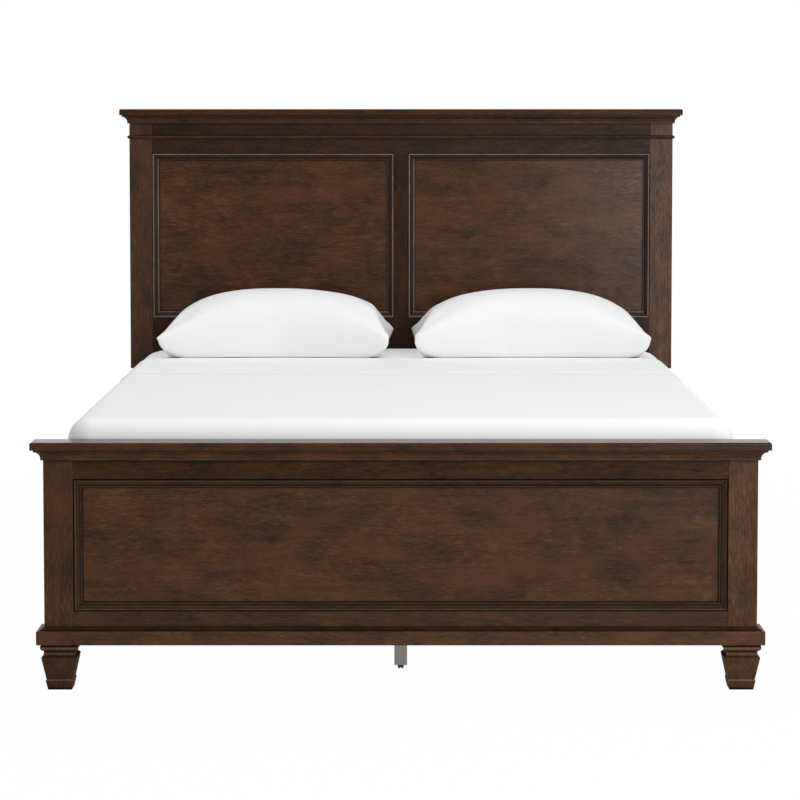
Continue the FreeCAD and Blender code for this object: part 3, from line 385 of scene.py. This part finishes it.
def planed_pine(name, along):
    """Bare planed pine: cream early wood with darker late wood lines about 6 mm apart, dry and matt."""
    pine, tree, skin = finish_of("planed_pine_" + name, Roughness=0.62)
    axes = {"x": (0, 1, 2), "y": (1, 0, 2)}
    place = add(tree, "SeparateXYZ", {0: add(tree, "TexCoord", {}).outputs["Object"]}).outputs
    grain = add(tree, "CombineXYZ", {slot: place[axis] for slot, axis in enumerate(axes[along])}).outputs[0]
    draw = np.random.default_rng(sum(map(ord, name)))
    log = [float(x) for x in draw.uniform(-PINE_LOG_REACH, PINE_LOG_REACH, 3)]
    grain = add(tree, "VectorMath", {0: grain, 1: log}, operation="ADD").outputs[0]
    stretch = (1 / YEAR_LENGTH, 1 / YEAR_WIDTH, 1 / YEAR_WIDTH)
    drawn = add(tree, "VectorMath", {0: grain, 1: stretch}, operation="MULTIPLY").outputs[0]
    years = add(tree, "TexNoise", {"Vector": drawn, "Scale": 1.0, "Detail": 2.0,
                                   "Distortion": 0.6}).outputs[0]
    tint = add(tree, "ValToRGB", {0: years})
    stops(tint.color_ramp, [(at, linear(code)) for at, code in PINE_BY_YEAR])
    tree.links.new(tint.outputs[0], skin.inputs["Base Color"])
    ridges = add(tree, "Bump", {"Height": years, "Strength": 0.25, "Distance": 0.0004}).outputs[0]
    tree.links.new(ridges, skin.inputs["Normal"])
    return pine


for side in ("left", "right"):
    cleat = f"{side}_slat_cleat"
    dress(cleat, planed_pine(cleat, "y"))
for number in range(1, 10):
    slat = f"slat_{number:02d}"
    dress(slat, planed_pine(slat, "x"))
dress("slat_screws", zinc_plate("slat_screws"))

# Support legs: square steel tubes with a welded plate, powder coated in warm grey.
# Each is screwed up into one of three slats.
POWDER_GREY = "#BAB4A4"
PEEL = 0.0025


def powder_coat(name):
    """Baked powder on steel: an even warm grey with the fine orange peel that the melted powder leaves."""
    coat, tree, skin = finish_of("grey_powder_coat_" + name, Roughness=0.42)
    place = add(tree, "TexCoord", {}).outputs["Object"]
    peel = add(tree, "TexNoise", {"Vector": place, "Scale": 1 / PEEL, "Detail": 2.0}).outputs[0]
    tint = add(tree, "ValToRGB", {0: peel})
    stops(tint.color_ramp, [(0.3, linear(POWDER_GREY, 0.93)), (0.7, linear(POWDER_GREY, 1.06))])
    tree.links.new(tint.outputs[0], skin.inputs["Base Color"])
    ripple = add(tree, "Bump", {"Height": peel, "Strength": 0.12, "Distance": 0.0003}).outputs[0]
    tree.links.new(ripple, skin.inputs["Normal"])
    return coat


for number in range(1, 4):
    leg = f"support_leg_{number}"
    dress(leg, powder_coat(leg))
dress("leg_screws", zinc_plate("leg_screws"))

# Glides: a nylon insert pressed into each tube, a blackened steel stud screwed into it, and a moulded nylon
# base that the stud turns in. Screwing the stud in or out levels the leg.
NYLON_BLACK = "#111112"
NYLON_GREY = "#1C1C1D"
GRIT = 0.0008
OXIDE_BLACK = "#151415"
OXIDE_BROWN = "#221F1D"
MOTTLE = 0.003


def moulded_nylon(name):
    """Injection moulded black nylon: near black, with the dull grain that a spark-eroded mould leaves."""
    nylon, tree, skin = finish_of("black_nylon_" + name, Roughness=0.5, Specular_IOR_Level=0.2)
    place = add(tree, "TexCoord", {}).outputs["Object"]
    grit = add(tree, "TexNoise", {"Vector": place, "Scale": 1 / GRIT, "Detail": 2.0}).outputs[0]
    tint = add(tree, "ValToRGB", {0: grit})
    stops(tint.color_ramp, [(0.3, linear(NYLON_BLACK)), (0.7, linear(NYLON_GREY))])
    tree.links.new(tint.outputs[0], skin.inputs["Base Color"])
    matt = add(tree, "Bump", {"Height": grit, "Strength": 0.2, "Distance": 0.0002}).outputs[0]
    tree.links.new(matt, skin.inputs["Normal"])
    return nylon


def blackened_steel(name):
    """Steel with a black oxide skin: a dark oily metal with faint brown mottling."""
    steel, tree, skin = finish_of("blackened_steel_" + name, Metallic=1.0, Roughness=0.38)
    place = add(tree, "TexCoord", {}).outputs["Object"]
    mottle = add(tree, "TexNoise", {"Vector": place, "Scale": 1 / MOTTLE, "Detail": 2.0}).outputs[0]
    tint = add(tree, "ValToRGB", {0: mottle})
    stops(tint.color_ramp, [(0.3, linear(OXIDE_BLACK)), (0.7, linear(OXIDE_BROWN))])
    tree.links.new(tint.outputs[0], skin.inputs["Base Color"])
    return steel


dress("leg_inserts", moulded_nylon("inserts"))
for number in range(1, 4):
    dress(f"glide_base_{number}", moulded_nylon(f"base_{number}"))
    dress(f"glide_stud_{number}", blackened_steel(f"stud_{number}"))

# Mattress: springs and foam in a sewn white knit cover, with rounded corners and a taped seam round the top
# and bottom edges of its border. It lies loose on the slats between the rails.
CORNER_RADIUS = 0.058
HEAD_CORNER_RADIUS = 0.110
EDGE_RADIUS = 0.050

# Steps of its mesh, fine near the rolled edges and coarse between them: over the plan, and up the border
PLAN_STEPS = {"fine": 0.009, "coarse": 0.045, "reach": 0.126}
BORDER_STEPS = {"fine": 0.006, "coarse": 0.020, "reach": 0.078}


def stations(start, end, fine, coarse, reach):
    """Places from start to end, fine steps within reach of both ends and coarse ones between."""
    run = math.ceil(reach / fine)
    near = [start + reach * k / run for k in range(run)]
    middle = math.ceil((end - start - 2 * reach) / coarse)
    between = [start + reach + (end - start - 2 * reach) * k / middle for k in range(middle)]
    far = [end - reach + reach * k / run for k in range(run + 1)]
    return near + between + far


def rounded(points, low, high, corner, head_corner, edge, flat_bottom=False):
    """Points on a sharp box, moved to the same box with rolled top and bottom edges and round upright
    corners, which have another radius at the head."""
    points = np.array(points, float)
    plan = points[:, :2]
    corner = np.where(plan[:, 1] > 0, head_corner, corner)
    inner = np.array(low[:2]) + corner[:, None], np.array(high[:2]) - corner[:, None]
    core = np.clip(plan, *inner)
    away = plan - core
    reach = np.abs(away).max(axis=1)
    length = np.hypot(away[:, 0], away[:, 1])
    outward = np.divide(away, length[:, None], out=np.zeros_like(away), where=length[:, None] > 0)
    inset = np.where(reach > 0, corner - reach, corner)
    outline = core + outward * np.where(reach > 0, corner, 0)[:, None]
    moved = core + outward * reach[:, None]
    height = points[:, 2].copy()
    for limit, way in ((high[2], 1), (low[2], -1)):
        if way < 0 and flat_bottom:
            continue
        depth = (limit - points[:, 2]) * way
        run = np.where(depth > 0, depth, -inset)
        rolled = np.abs(run) < edge
        angle = (run[rolled] + edge) / (2 * edge) * math.pi / 2
        moved[rolled] = outline[rolled] - outward[rolled] * (edge - edge * np.sin(angle))[:, None]
        height[rolled] = limit - way * (edge - edge * np.cos(angle))
    return np.column_stack([moved, height])


def piece_of(name, points, faces):
    """A smooth mesh object."""
    mesh = bpy.data.meshes.new(name)
    mesh.from_pydata([tuple(point) for point in points], [], faces)
    mesh.update()
    mesh.shade_smooth()
    made = bpy.data.objects.new(name, mesh)
    bpy.context.scene.collection.objects.link(made)
    return made


class Shell:
    """A mesh of named grid points, so that strips of faces which share points are sewn together."""

    def __init__(self):
        self.names = {}
        self.points = []
        self.faces = []

    def at(self, name, point):
        """The number of the point of that name, which is added where it is new."""
        if name not in self.names:
            self.names[name] = len(self.points)
            self.points.append(point)
        return self.names[name]

    def strip(self, across, along, name_of, point_of, turned=False):
        """Faces over a grid of two runs of stations. Turned ones face the other way."""
        for i in range(len(across) - 1):
            for j in range(len(along) - 1):
                ring = [(i, j), (i + 1, j), (i + 1, j + 1), (i, j + 1)]
                face = [self.at(name_of(*place), point_of(*place)) for place in ring]
                self.faces.append(face[::-1] if turned else face)


low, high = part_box("mattress")
wide = stations(low.x, high.x, **PLAN_STEPS)
long = stations(low.y, high.y, **PLAN_STEPS)
tall = stations(low.z, high.z, **BORDER_STEPS)
ends = (len(wide) - 1, len(long) - 1, len(tall) - 1)
block = Shell()


def spot(i, j, k):
    return (wide[i], long[j], tall[k])


for k in (0, ends[2]):
    block.strip(wide, long, lambda i, j: (i, j, k), lambda i, j: spot(i, j, k), k == 0)
for j in (0, ends[1]):
    block.strip(wide, tall, lambda i, k: (i, j, k), lambda i, k: spot(i, j, k), j > 0)
for i in (0, ends[0]):
    block.strip(long, tall, lambda j, k: (i, j, k), lambda j, k: spot(i, j, k), i == 0)
points = rounded(block.points, low, high, CORNER_RADIUS, HEAD_CORNER_RADIUS, EDGE_RADIUS)

# The taped seams pull the border in on both sides of a 16 mm tape
TAPE_HALF = 0.008
SEAM_DEPTH = 0.004
SEAM_WIDTH = 0.004
for seam in (high.z - EDGE_RADIUS, low.z + EDGE_RADIUS):
    for line in (seam - TAPE_HALF, seam + TAPE_HALF):
        pull = SEAM_DEPTH * np.exp(-((points[:, 2] - line) / SEAM_WIDTH) ** 2)
        core = np.clip(points[:, :2], np.array(low[:2]) + CORNER_RADIUS, np.array(high[:2]) - CORNER_RADIUS)
        away = points[:, :2] - core
        length = np.hypot(away[:, 0], away[:, 1])
        border = length > CORNER_RADIUS - EDGE_RADIUS
        points[border, :2] -= away[border] / length[border, None] * pull[border, None]

# Along the head, where no sheet holds it down, the top swells to a low roll
HEAD_ROLL_HEIGHT = 0.005
HEAD_ROLL_WIDTH = 0.030
HEAD_ROLL_INSET = 0.040
swell = np.exp(-((points[:, 1] - high.y + HEAD_ROLL_INSET) / HEAD_ROLL_WIDTH) ** 2)
near_top = np.clip((points[:, 2] - high.z + EDGE_RADIUS) / EDGE_RADIUS, 0, 1)
points[:, 2] += HEAD_ROLL_HEIGHT * swell * near_top
mattress = piece_of("mattress_cover_piece", points, block.faces)

COVER_WHITE = "#F5F5F5"
LOOP = 0.004
COVER_CLOUD = 0.12
CLOUD_SHADE = 0.985


def knit_cover(name, code):
    """White polyester knit: matt and soft, with rows of small loops. The loops are drawn 4 mm apart, because
    real ones under a millimetre are too fine to show."""
    knit, tree, skin = finish_of(name, Roughness=0.85, Sheen_Weight=0.15, Sheen_Roughness=0.5)
    place = add(tree, "TexCoord", {}).outputs["Object"]
    loops = add(tree, "TexVoronoi", {"Vector": place, "Scale": 1 / LOOP}).outputs[0]
    shade = add(tree, "TexNoise", {"Vector": place, "Scale": 1 / COVER_CLOUD, "Detail": 2.0}).outputs[0]
    tint = add(tree, "ValToRGB", {0: shade})
    stops(tint.color_ramp, [(0.3, linear(code, CLOUD_SHADE)), (0.7, linear(code))])
    tree.links.new(tint.outputs[0], skin.inputs["Base Color"])
    pile = add(tree, "Bump", {"Height": loops, "Strength": 0.15, "Distance": 0.0008}, invert=True).outputs[0]
    tree.links.new(pile, skin.inputs["Normal"])
    return knit


mattress.data.materials.append(knit_cover("white_polyester_knit", COVER_WHITE))
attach(mattress, "mattress")
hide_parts("mattress")

# Sheet: one white cotton percale sheet, laid tight over the mattress and tucked in along the sides and the
# foot. Its head end is turned down towards the foot, so that it lies double there.
SHEET_WHITE = "#F3F3F3"
SHEET_LIFT = 0.0008
SHEET_BULK = 0.0010
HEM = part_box("sheet")[0].z
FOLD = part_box("sheet")[1].y
TURNED_DOWN = 0.497
TURN_LIFT = 0.0014
CLOTH_STEPS = {"fine": 0.007, "coarse": 0.030, "reach": 0.077}
DROP_STEPS = {"fine": 0.007, "coarse": 0.020, "reach": 0.077}

# The box that the cloth is rolled over runs on past the head, so that only its foot has round corners
PAST_HEAD = 1.0
mattress_low, mattress_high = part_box("mattress")
low = mattress_low - Vector((SHEET_LIFT, SHEET_LIFT, 0))
high = mattress_high + Vector((SHEET_LIFT, PAST_HEAD, SHEET_LIFT))
wide = stations(low.x, high.x, **CLOTH_STEPS)
run = stations(low.y, FOLD, **CLOTH_STEPS)
drop = stations(HEM, high.z, **DROP_STEPS)
head = len(run) - 1
turn = min(range(len(run)), key=lambda j: abs(run[j] - FOLD + TURNED_DOWN))
cloth = Shell()
top = len(drop) - 1
sides = (0, len(wide) - 1)
cloth.strip(wide, run, lambda i, j: (i, j, top, 0), lambda i, j: (wide[i], run[j], high.z))
for i in sides:
    cloth.strip(run, drop, lambda j, k: (i, j, k, 0), lambda j, k: (wide[i], run[j], drop[k]), i == 0)
cloth.strip(wide, drop, lambda i, k: (i, 0, k, 0), lambda i, k: (wide[i], run[0], drop[k]))
under = len(cloth.points)

# The turned-down part lies on the first layer, and the two are joined by the fold's round edge
FOLD_STEPS = 4
flap = run[turn:]
last = len(flap) - 1
cloth.strip(wide, flap, lambda i, j: (i, j, top, 1), lambda i, j: (wide[i], flap[j], high.z), True)
for i in sides:
    cloth.strip(flap, drop, lambda j, k: (i, j, k, 1), lambda j, k: (wide[i], flap[j], drop[k]), i > 0)
over = len(cloth.points)
around = [(0, k) for k in range(len(drop))] + [(i, top) for i in range(1, len(wide) - 1)]
around += [(len(wide) - 1, k) for k in reversed(range(len(drop)))]


def fold_name(step, place):
    i, k = around[step]
    if place == 0:
        return (i, head, k, 0)
    if place == FOLD_STEPS:
        return (i, last, k, 1)
    return (i, k, "fold", place)


def fold_point(step, place):
    i, k = around[step]
    return (wide[i], FOLD, drop[k])


cloth.strip(around, range(FOLD_STEPS + 1), fold_name, fold_point)
edge = EDGE_RADIUS + SHEET_LIFT
corner = CORNER_RADIUS + SHEET_LIFT
points = rounded(cloth.points, low, high, corner, corner, edge, True)

# How far each point of the second layer stands off the first, outward from the mattress. Lengths stay above
# a tiny one, so that they can divide
TINY = 1e-9
core = np.column_stack([
    np.clip(points[:, 0], low.x + EDGE_RADIUS, high.x - EDGE_RADIUS),
    points[:, 1],
    np.minimum(points[:, 2], high.z - EDGE_RADIUS),
])
outward = points - core
outward /= np.maximum(np.linalg.norm(outward, axis=1), TINY)[:, None]
lift = np.zeros(len(points))
lift[under:over] = TURN_LIFT
for name, index in cloth.names.items():
    if name[2] == "fold":
        angle = math.pi * name[3] / FOLD_STEPS
        lift[index] = TURN_LIFT / 2 * (1 - math.cos(angle))
        points[index, 1] += TURN_LIFT * math.sin(angle)
points += outward * lift[:, None]

# Spare cloth at the two foot corners is tucked back in a pleat, which opens downwards from the rolled edge.
# Its start, crest and end are in degrees round the corner from the foot
PLEAT_DEPTH = 0.006
PLEAT_START = 0.030
PLEAT_RUN = 0.050
PLEAT_ANGLES = (34, 40, 85)
middle = np.clip(points[:, :2], np.array(low[:2]) + CORNER_RADIUS, np.array(high[:2]) - CORNER_RADIUS)
away = points[:, :2] - middle
length = np.maximum(np.hypot(away[:, 0], away[:, 1]), TINY)
angle = np.degrees(np.arctan2(np.abs(away[:, 0]), -away[:, 1]))
crease = np.interp(angle, PLEAT_ANGLES, (0, 1, 0))
opened = np.clip((high.z - PLEAT_START - points[:, 2]) / PLEAT_RUN, 0, 1)
points[:, :2] += away / length[:, None] * (PLEAT_DEPTH * crease * opened)[:, None]

sheet = piece_of("cotton_sheet", points, cloth.faces)
bulk = sheet.modifiers.new("bulk", "SOLIDIFY")
bulk.thickness = SHEET_BULK
bulk.offset = 0

# One wave of Blender's wave texture at a scale of 1
WAVE_LENGTH = math.pi / 10
RIB = 0.0125664
COTTON_CLOUD = 0.09


def cotton_percale(name, code):
    """Bleached cotton percale: a matt plain weave. Its threads, four to a millimetre, are too fine to show,
    so the weave is drawn as soft crossing ribs 13 mm apart."""
    cotton, tree, skin = finish_of(name, Roughness=0.8, Sheen_Weight=0.2, Sheen_Roughness=0.4)
    place = add(tree, "TexCoord", {}).outputs["Object"]
    threads = [add(tree, "TexWave", {"Vector": place, "Scale": WAVE_LENGTH / RIB, "Distortion": 0.4},
                   bands_direction=way).outputs[1] for way in ("X", "Y")]
    weft = add(tree, "Math", {0: threads[0], 1: threads[1]}, operation="ADD").outputs[0]
    shade = add(tree, "TexNoise", {"Vector": place, "Scale": 1 / COTTON_CLOUD, "Detail": 2.0}).outputs[0]
    tint = add(tree, "ValToRGB", {0: shade})
    stops(tint.color_ramp, [(0.3, linear(code, CLOUD_SHADE)), (0.7, linear(code))])
    tree.links.new(tint.outputs[0], skin.inputs["Base Color"])
    cloth_bump = add(tree, "Bump", {"Height": weft, "Strength": 0.05, "Distance": 0.0004}).outputs[0]
    tree.links.new(cloth_bump, skin.inputs["Normal"])
    return cotton


sheet.data.materials.append(cotton_percale("white_cotton_percale_sheet", SHEET_WHITE))
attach(sheet, "mattress")
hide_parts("sheet")

# Pillows: two white cotton cases, sewn flat from two layers and stuffed full of fibre.
# The stuffing is simulated: pressure swells the flat case. Then its own weight and the mattress flatten the
# underside, and the crown settles into an even arc.
CASE_WHITE = "#ECECEC"
CASE_WIDTH = 0.762
CASE_DEPTH = 0.508
CASE_STEP = 0.0127
CASE_PUFF = 0.012
CASE_CRINKLE = 0.0015
SHARP_STEPS = 4
SWELL_FRAMES = 30

# How the stuffing settles: the height of the seam, how far the underside would bulge below it, how hard it is
# pressed flat, and the powers that shape the arc of the crown, its taper and the underside
SEAM_HEIGHT = 0.062
UNDER_DEPTH = 0.165
PRESSED = 8
OUTER_TIP = 1.02
END_POWER = 2.6
CROWN_POWER = 0.66
CROWN_TAPER = 0.20
UNDER_POWER = 0.52
UNDER_FULLNESS = 0.7
OVERFILL = 1.02
TAPER_STARTS = -0.4

# How far folds ease out, in steps and columns of the case's grid, and the gathers at its corners
EASE_STEPS = 9
EASE_SPREAD = 2
EVEN_COLUMNS = 5
GATHER_DEPTH = 0.0022
GATHER_REACH = 0.075
GATHERS = 3


def stuffed_case(name, seed):
    """A sewn case swollen by its stuffing, about its own middle, with the grid place of each point."""
    columns = round(CASE_WIDTH / CASE_STEP)
    rows = round(CASE_DEPTH / CASE_STEP)
    case = Shell()
    rng = np.random.default_rng(seed)

    def rim(i, j):
        return i in (0, columns) or j in (0, rows)

    for layer in (1, -1):
        def name_of(i, j):
            return (i, j, 0 if rim(i, j) else layer)

        def point_of(i, j):
            puff = CASE_PUFF * math.sin(math.pi * i / columns) * math.sin(math.pi * j / rows)
            return ((i / columns - 0.5) * CASE_WIDTH, (j / rows - 0.5) * CASE_DEPTH,
                    layer * (puff + CASE_CRINKLE * rng.random()))

        case.strip(range(columns + 1), range(rows + 1), name_of, point_of, layer < 0)
    made = piece_of(name, case.points, case.faces)
    swell = made.modifiers.new("swell", "CLOTH")
    swell.settings.quality = 6
    swell.settings.mass = 0.15
    swell.settings.tension_stiffness = 30
    swell.settings.compression_stiffness = 30
    swell.settings.shear_stiffness = 10
    swell.settings.bending_stiffness = 0.5
    swell.settings.use_pressure = True
    swell.settings.uniform_pressure_force = 12
    swell.settings.effector_weights.gravity = 0
    swell.collision_settings.use_collision = False
    swell.point_cache.frame_end = SWELL_FRAMES
    # Tight puckers ease as the fibre spreads, but the four corners stay sharp
    soft = made.vertex_groups.new(name="soft")
    soft.add([index for (i, j, layer), index in case.names.items()
              if min(i, columns - i) + min(j, rows - j) > SHARP_STEPS], 1.0, "REPLACE")
    ease = made.modifiers.new("ease", "SMOOTH")
    ease.factor = 0.5
    ease.iterations = 26
    ease.vertex_group = "soft"
    for step in range(1, SWELL_FRAMES + 1):
        bpy.context.scene.frame_set(step)
    depsgraph = bpy.context.evaluated_depsgraph_get()
    swollen = bpy.data.meshes.new_from_object(made.evaluated_get(depsgraph))
    made.modifiers.clear()
    made.data = swollen
    bpy.context.scene.frame_set(1)
    return made, np.array(list(case.names))


# Each pillow's side, the seed of its crinkles, how wide it lies, and the taper of its outer and inner ends
PILLOWS = (("left", 3, 1.0, 1.0, -0.7), ("right", 8, 1.03, 1.4, 0.3))
for side, seed, width, outer_taper, inner_taper in PILLOWS:
    node = f"pillow_{side}"
    pillow, grid = stuffed_case(f"{side}_pillow_case", seed)
    low, high = np.array(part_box(node))
    places = np.array([vertex.co for vertex in pillow.data.vertices])
    places = np.where(places > 0, places / places.max(axis=0), places / -places.min(axis=0))
    # Folds across the case ease out along its length and its depth, away from the ends
    table = np.zeros((2, *(grid[:, :2].max(axis=0) + 1)), int)
    for index, (i, j, layer) in enumerate(grid):
        for half in {0: (0, 1), 1: (0,), -1: (1,)}[layer]:
            table[half, i, j] = index
    spread = np.exp(-np.linspace(-EASE_SPREAD, EASE_SPREAD, 2 * EASE_STEPS + 1) ** 2 / 2)
    beyond = ((0, 0), (EASE_STEPS, EASE_STEPS), (0, 0), (0, 0))
    for axis in (0, 1):
        lines = np.swapaxes(table, 1, 1 + axis)
        steps = lines.shape[1]
        folded = places[lines]
        padded = np.pad(folded, beyond, "reflect", reflect_type="odd")
        eased = sum(share * padded[:, k:k + steps] for k, share in enumerate(spread / spread.sum()))
        eased[..., axis] = folded[..., axis]
        free = np.minimum(np.arange(steps), np.arange(steps)[::-1]) / EASE_STEPS
        places[lines] = folded + np.clip(free, 0, 1)[None, :, None, None] * (eased - folded)
    # Both layers settle to an even arc with pointed ends, but the end towards the middle of the bed is fuller
    across, along = np.clip(places[:, :2], -1, 1).T
    inward = across if side == "left" else -across
    inner_end = np.interp(along, (-1, TAPER_STARTS, 1), (1, inner_taper, inner_taper))
    lean = np.where(inward > 0, inner_end, outer_taper)
    bow = 1 - np.abs(across) ** END_POWER
    crown = bow ** (CROWN_POWER + CROWN_TAPER * np.abs(across) * lean)
    for layer, arc, fullness in ((1, crown, 1.0), (-1, bow ** UNDER_POWER, UNDER_FULLNESS)):
        here = grid[:, 2] == layer
        swell = np.abs(places[here, 2])
        column = grid[here, 0] - 1
        crest = np.zeros(column.max() + 1)
        np.maximum.at(crest, column, swell)
        crest = np.convolve(np.pad(crest, EVEN_COLUMNS, "edge"), np.ones(2 * EVEN_COLUMNS + 1), "valid")
        crest /= 2 * EVEN_COLUMNS + 1
        places[here, 2] = layer * arc[here] * np.clip(swell / crest[column], 0, OVERFILL) ** fullness
    places[:, 2] /= np.abs(places[:, 2]).max()
    # Where the underside meets the mattress it is pressed flat
    depth = np.abs(places[:, 2]) * UNDER_DEPTH / SEAM_HEIGHT
    flat = depth / (1 + depth ** PRESSED) ** (1 / PRESSED)
    places[:, 0] *= width * np.where(inward < 0, OUTER_TIP, 1)
    places[:, :2] = (low + high)[:2] / 2 + places[:, :2] * (high - low)[:2] / 2
    seam = low[2] + SEAM_HEIGHT
    places[:, 2] = np.where(grid[:, 2] < 0, seam - flat * SEAM_HEIGHT, seam + places[:, 2] * (high[2] - seam))
    pillow.data.vertices.foreach_set("co", places.ravel())
    pillow.data.update()
    # Gathers fan out over the quarter turn at each of the four sewn corners, which stay sharp
    from_end = (1 - np.abs(across)) * CASE_WIDTH / 2
    from_side = (1 - np.abs(along)) * CASE_DEPTH / 2
    reach = np.hypot(from_end, from_side) / GATHER_REACH
    fan = np.arctan2(from_side, from_end)
    gather = GATHER_DEPTH * np.cos(4 * GATHERS * fan) * reach * np.exp(1 - reach)
    outward = np.array([vertex.normal for vertex in pillow.data.vertices])
    places += outward * np.where(grid[:, 2] == 0, 0, gather)[:, None]
    places[:, 2] = np.clip(places[:, 2], low[2], high[2])
    pillow.data.vertices.foreach_set("co", places.ravel())
    sharp = pillow.data.attributes.new("crease_vert", "FLOAT", "POINT")
    for corner in table[0][[0, 0, -1, -1], [0, -1, 0, -1]]:
        sharp.data[corner].value = 1.0
    pillow.data.update()
    pillow.data.shade_smooth()
    pillow.data.materials.append(cotton_percale(f"white_cotton_percale_{side}_case", CASE_WHITE))
    soft = pillow.modifiers.new("soft", "SUBSURF")
    soft.levels = 1
    soft.render_levels = 1
    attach(pillow, f"{side}_pillow")
    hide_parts(node)

# Floor: a plain pale painted studio floor, just below the feet.
# To the camera it is white, with a faint trace of the bed's shadow near the bed.
FLOOR_PAINT = "#EDEDEC"
FLOOR_HALF = 60.0
FLOOR_GAP = 0.0005
SHADOW_NEAR = 1.8
SHADOW_FAR = 4.5
WHITE_NEAR = 0.98


def shown(tree):
    """1 on rays that show a backdrop as it is: to the camera, in a reflection or through something clear."""
    rays = add(tree, "LightPath", {}).outputs
    seen = rays["Is Camera Ray"]
    for kind in ("Is Glossy Ray", "Is Transmission Ray"):
        seen = add(tree, "Math", {0: seen, 1: rays[kind]}, operation="MAXIMUM").outputs[0]
    return seen


corners = [(-FLOOR_HALF, -FLOOR_HALF, 0), (FLOOR_HALF, -FLOOR_HALF, 0),
           (FLOOR_HALF, FLOOR_HALF, 0), (-FLOOR_HALF, FLOOR_HALF, 0)]
floor = piece_of("studio_floor", corners, [[0, 1, 2, 3]])
floor.location.z = -FLOOR_GAP
pale, tree, skin = finish_of("pale_studio_paint", Roughness=0.9, Base_Color=linear(FLOOR_PAINT))
place = add(tree, "TexCoord", {}).outputs["Object"]
away = add(tree, "VectorMath", {0: place}, operation="LENGTH").outputs["Value"]
share = add(tree, "MapRange", {"Value": away, "From Min": SHADOW_NEAR, "From Max": SHADOW_FAR,
                               "To Min": WHITE_NEAR}).outputs[0]
seen = add(tree, "Math", {0: shown(tree), 1: share}, operation="MULTIPLY").outputs[0]
glow = add(tree, "Emission", {"Color": (1, 1, 1, 1), "Strength": 1.0}).outputs[0]
mixed = add(tree, "MixShader", {0: seen, 1: skin.outputs[0], 2: glow}).outputs[0]
tree.links.new(mixed, tree.nodes["Material Output"].inputs["Surface"])
floor.data.materials.append(pale)

# Studio light: a white room all round, a large soft box in front at the right, and one overhead.
# A small one far off at the right, low down, gives the wood its sheen on that side.
ROOM_LIGHT = 0.407
room = bpy.data.worlds.new("white_room")
room.use_nodes = True
bpy.context.scene.world = room
tree = room.node_tree
strength = add(tree, "MapRange", {"Value": shown(tree), "To Min": ROOM_LIGHT}).outputs[0]
tree.links.new(strength, tree.nodes["Background"].inputs["Strength"])
tree.nodes["Background"].inputs["Color"].default_value = (1, 1, 1, 1)


def soft_box(name, place, aim, size, power):
    """A rectangular area lamp, so wide and so high, that points at aim."""
    lamp = bpy.data.lights.new(name, "AREA")
    lamp.shape = "RECTANGLE"
    lamp.size, lamp.size_y = size
    lamp.energy = power
    made = bpy.data.objects.new(name, lamp)
    made.location = place
    made.rotation_euler = (Vector(aim) - Vector(place)).to_track_quat("-Z", "Y").to_euler()
    bpy.context.scene.collection.objects.link(made)


soft_box("right_soft_box", place=(3.5, -3.8, 3.1), aim=(0.0, 0.0, 0.6), size=(2.2, 2.2), power=118)
soft_box("overhead_soft_box", place=(-0.4, 0.4, 5.0), aim=(0.0, 0.4, 0.5), size=(3.4, 2.4), power=87)
soft_box("far_right_soft_box", place=(2.8, -13.0, 0.9), aim=(0.5, 0.0, 0.8), size=(1.4, 1.4), power=245)

# Camera: 1.3 m up and 6.4 m in front of the footboard, looking slightly down along the bed, with a long lens.
# Its focal length is in pixels of a square frame of 800.
SENSOR = 36.0
FRAME_PIXELS = 800
FOCAL_PIXELS = 2878.3
SHIFT_ACROSS = -0.00256
SHIFT_DOWN = -0.10
EYE = (0.0031, -7.503, 1.2851)
DEGREES_DOWN = 3.959
camera = bpy.data.cameras.new("camera")
camera.sensor_width = SENSOR
camera.lens = SENSOR * FOCAL_PIXELS / FRAME_PIXELS
camera.shift_x = SHIFT_ACROSS
camera.shift_y = SHIFT_DOWN
eye = bpy.data.objects.new("camera", camera)
eye.location = EYE
eye.rotation_euler = (math.radians(90 - DEGREES_DOWN), 0, 0)
bpy.context.scene.collection.objects.link(eye)
bpy.context.scene.camera = eye
bpy.context.scene.view_settings.view_transform = "Standard"
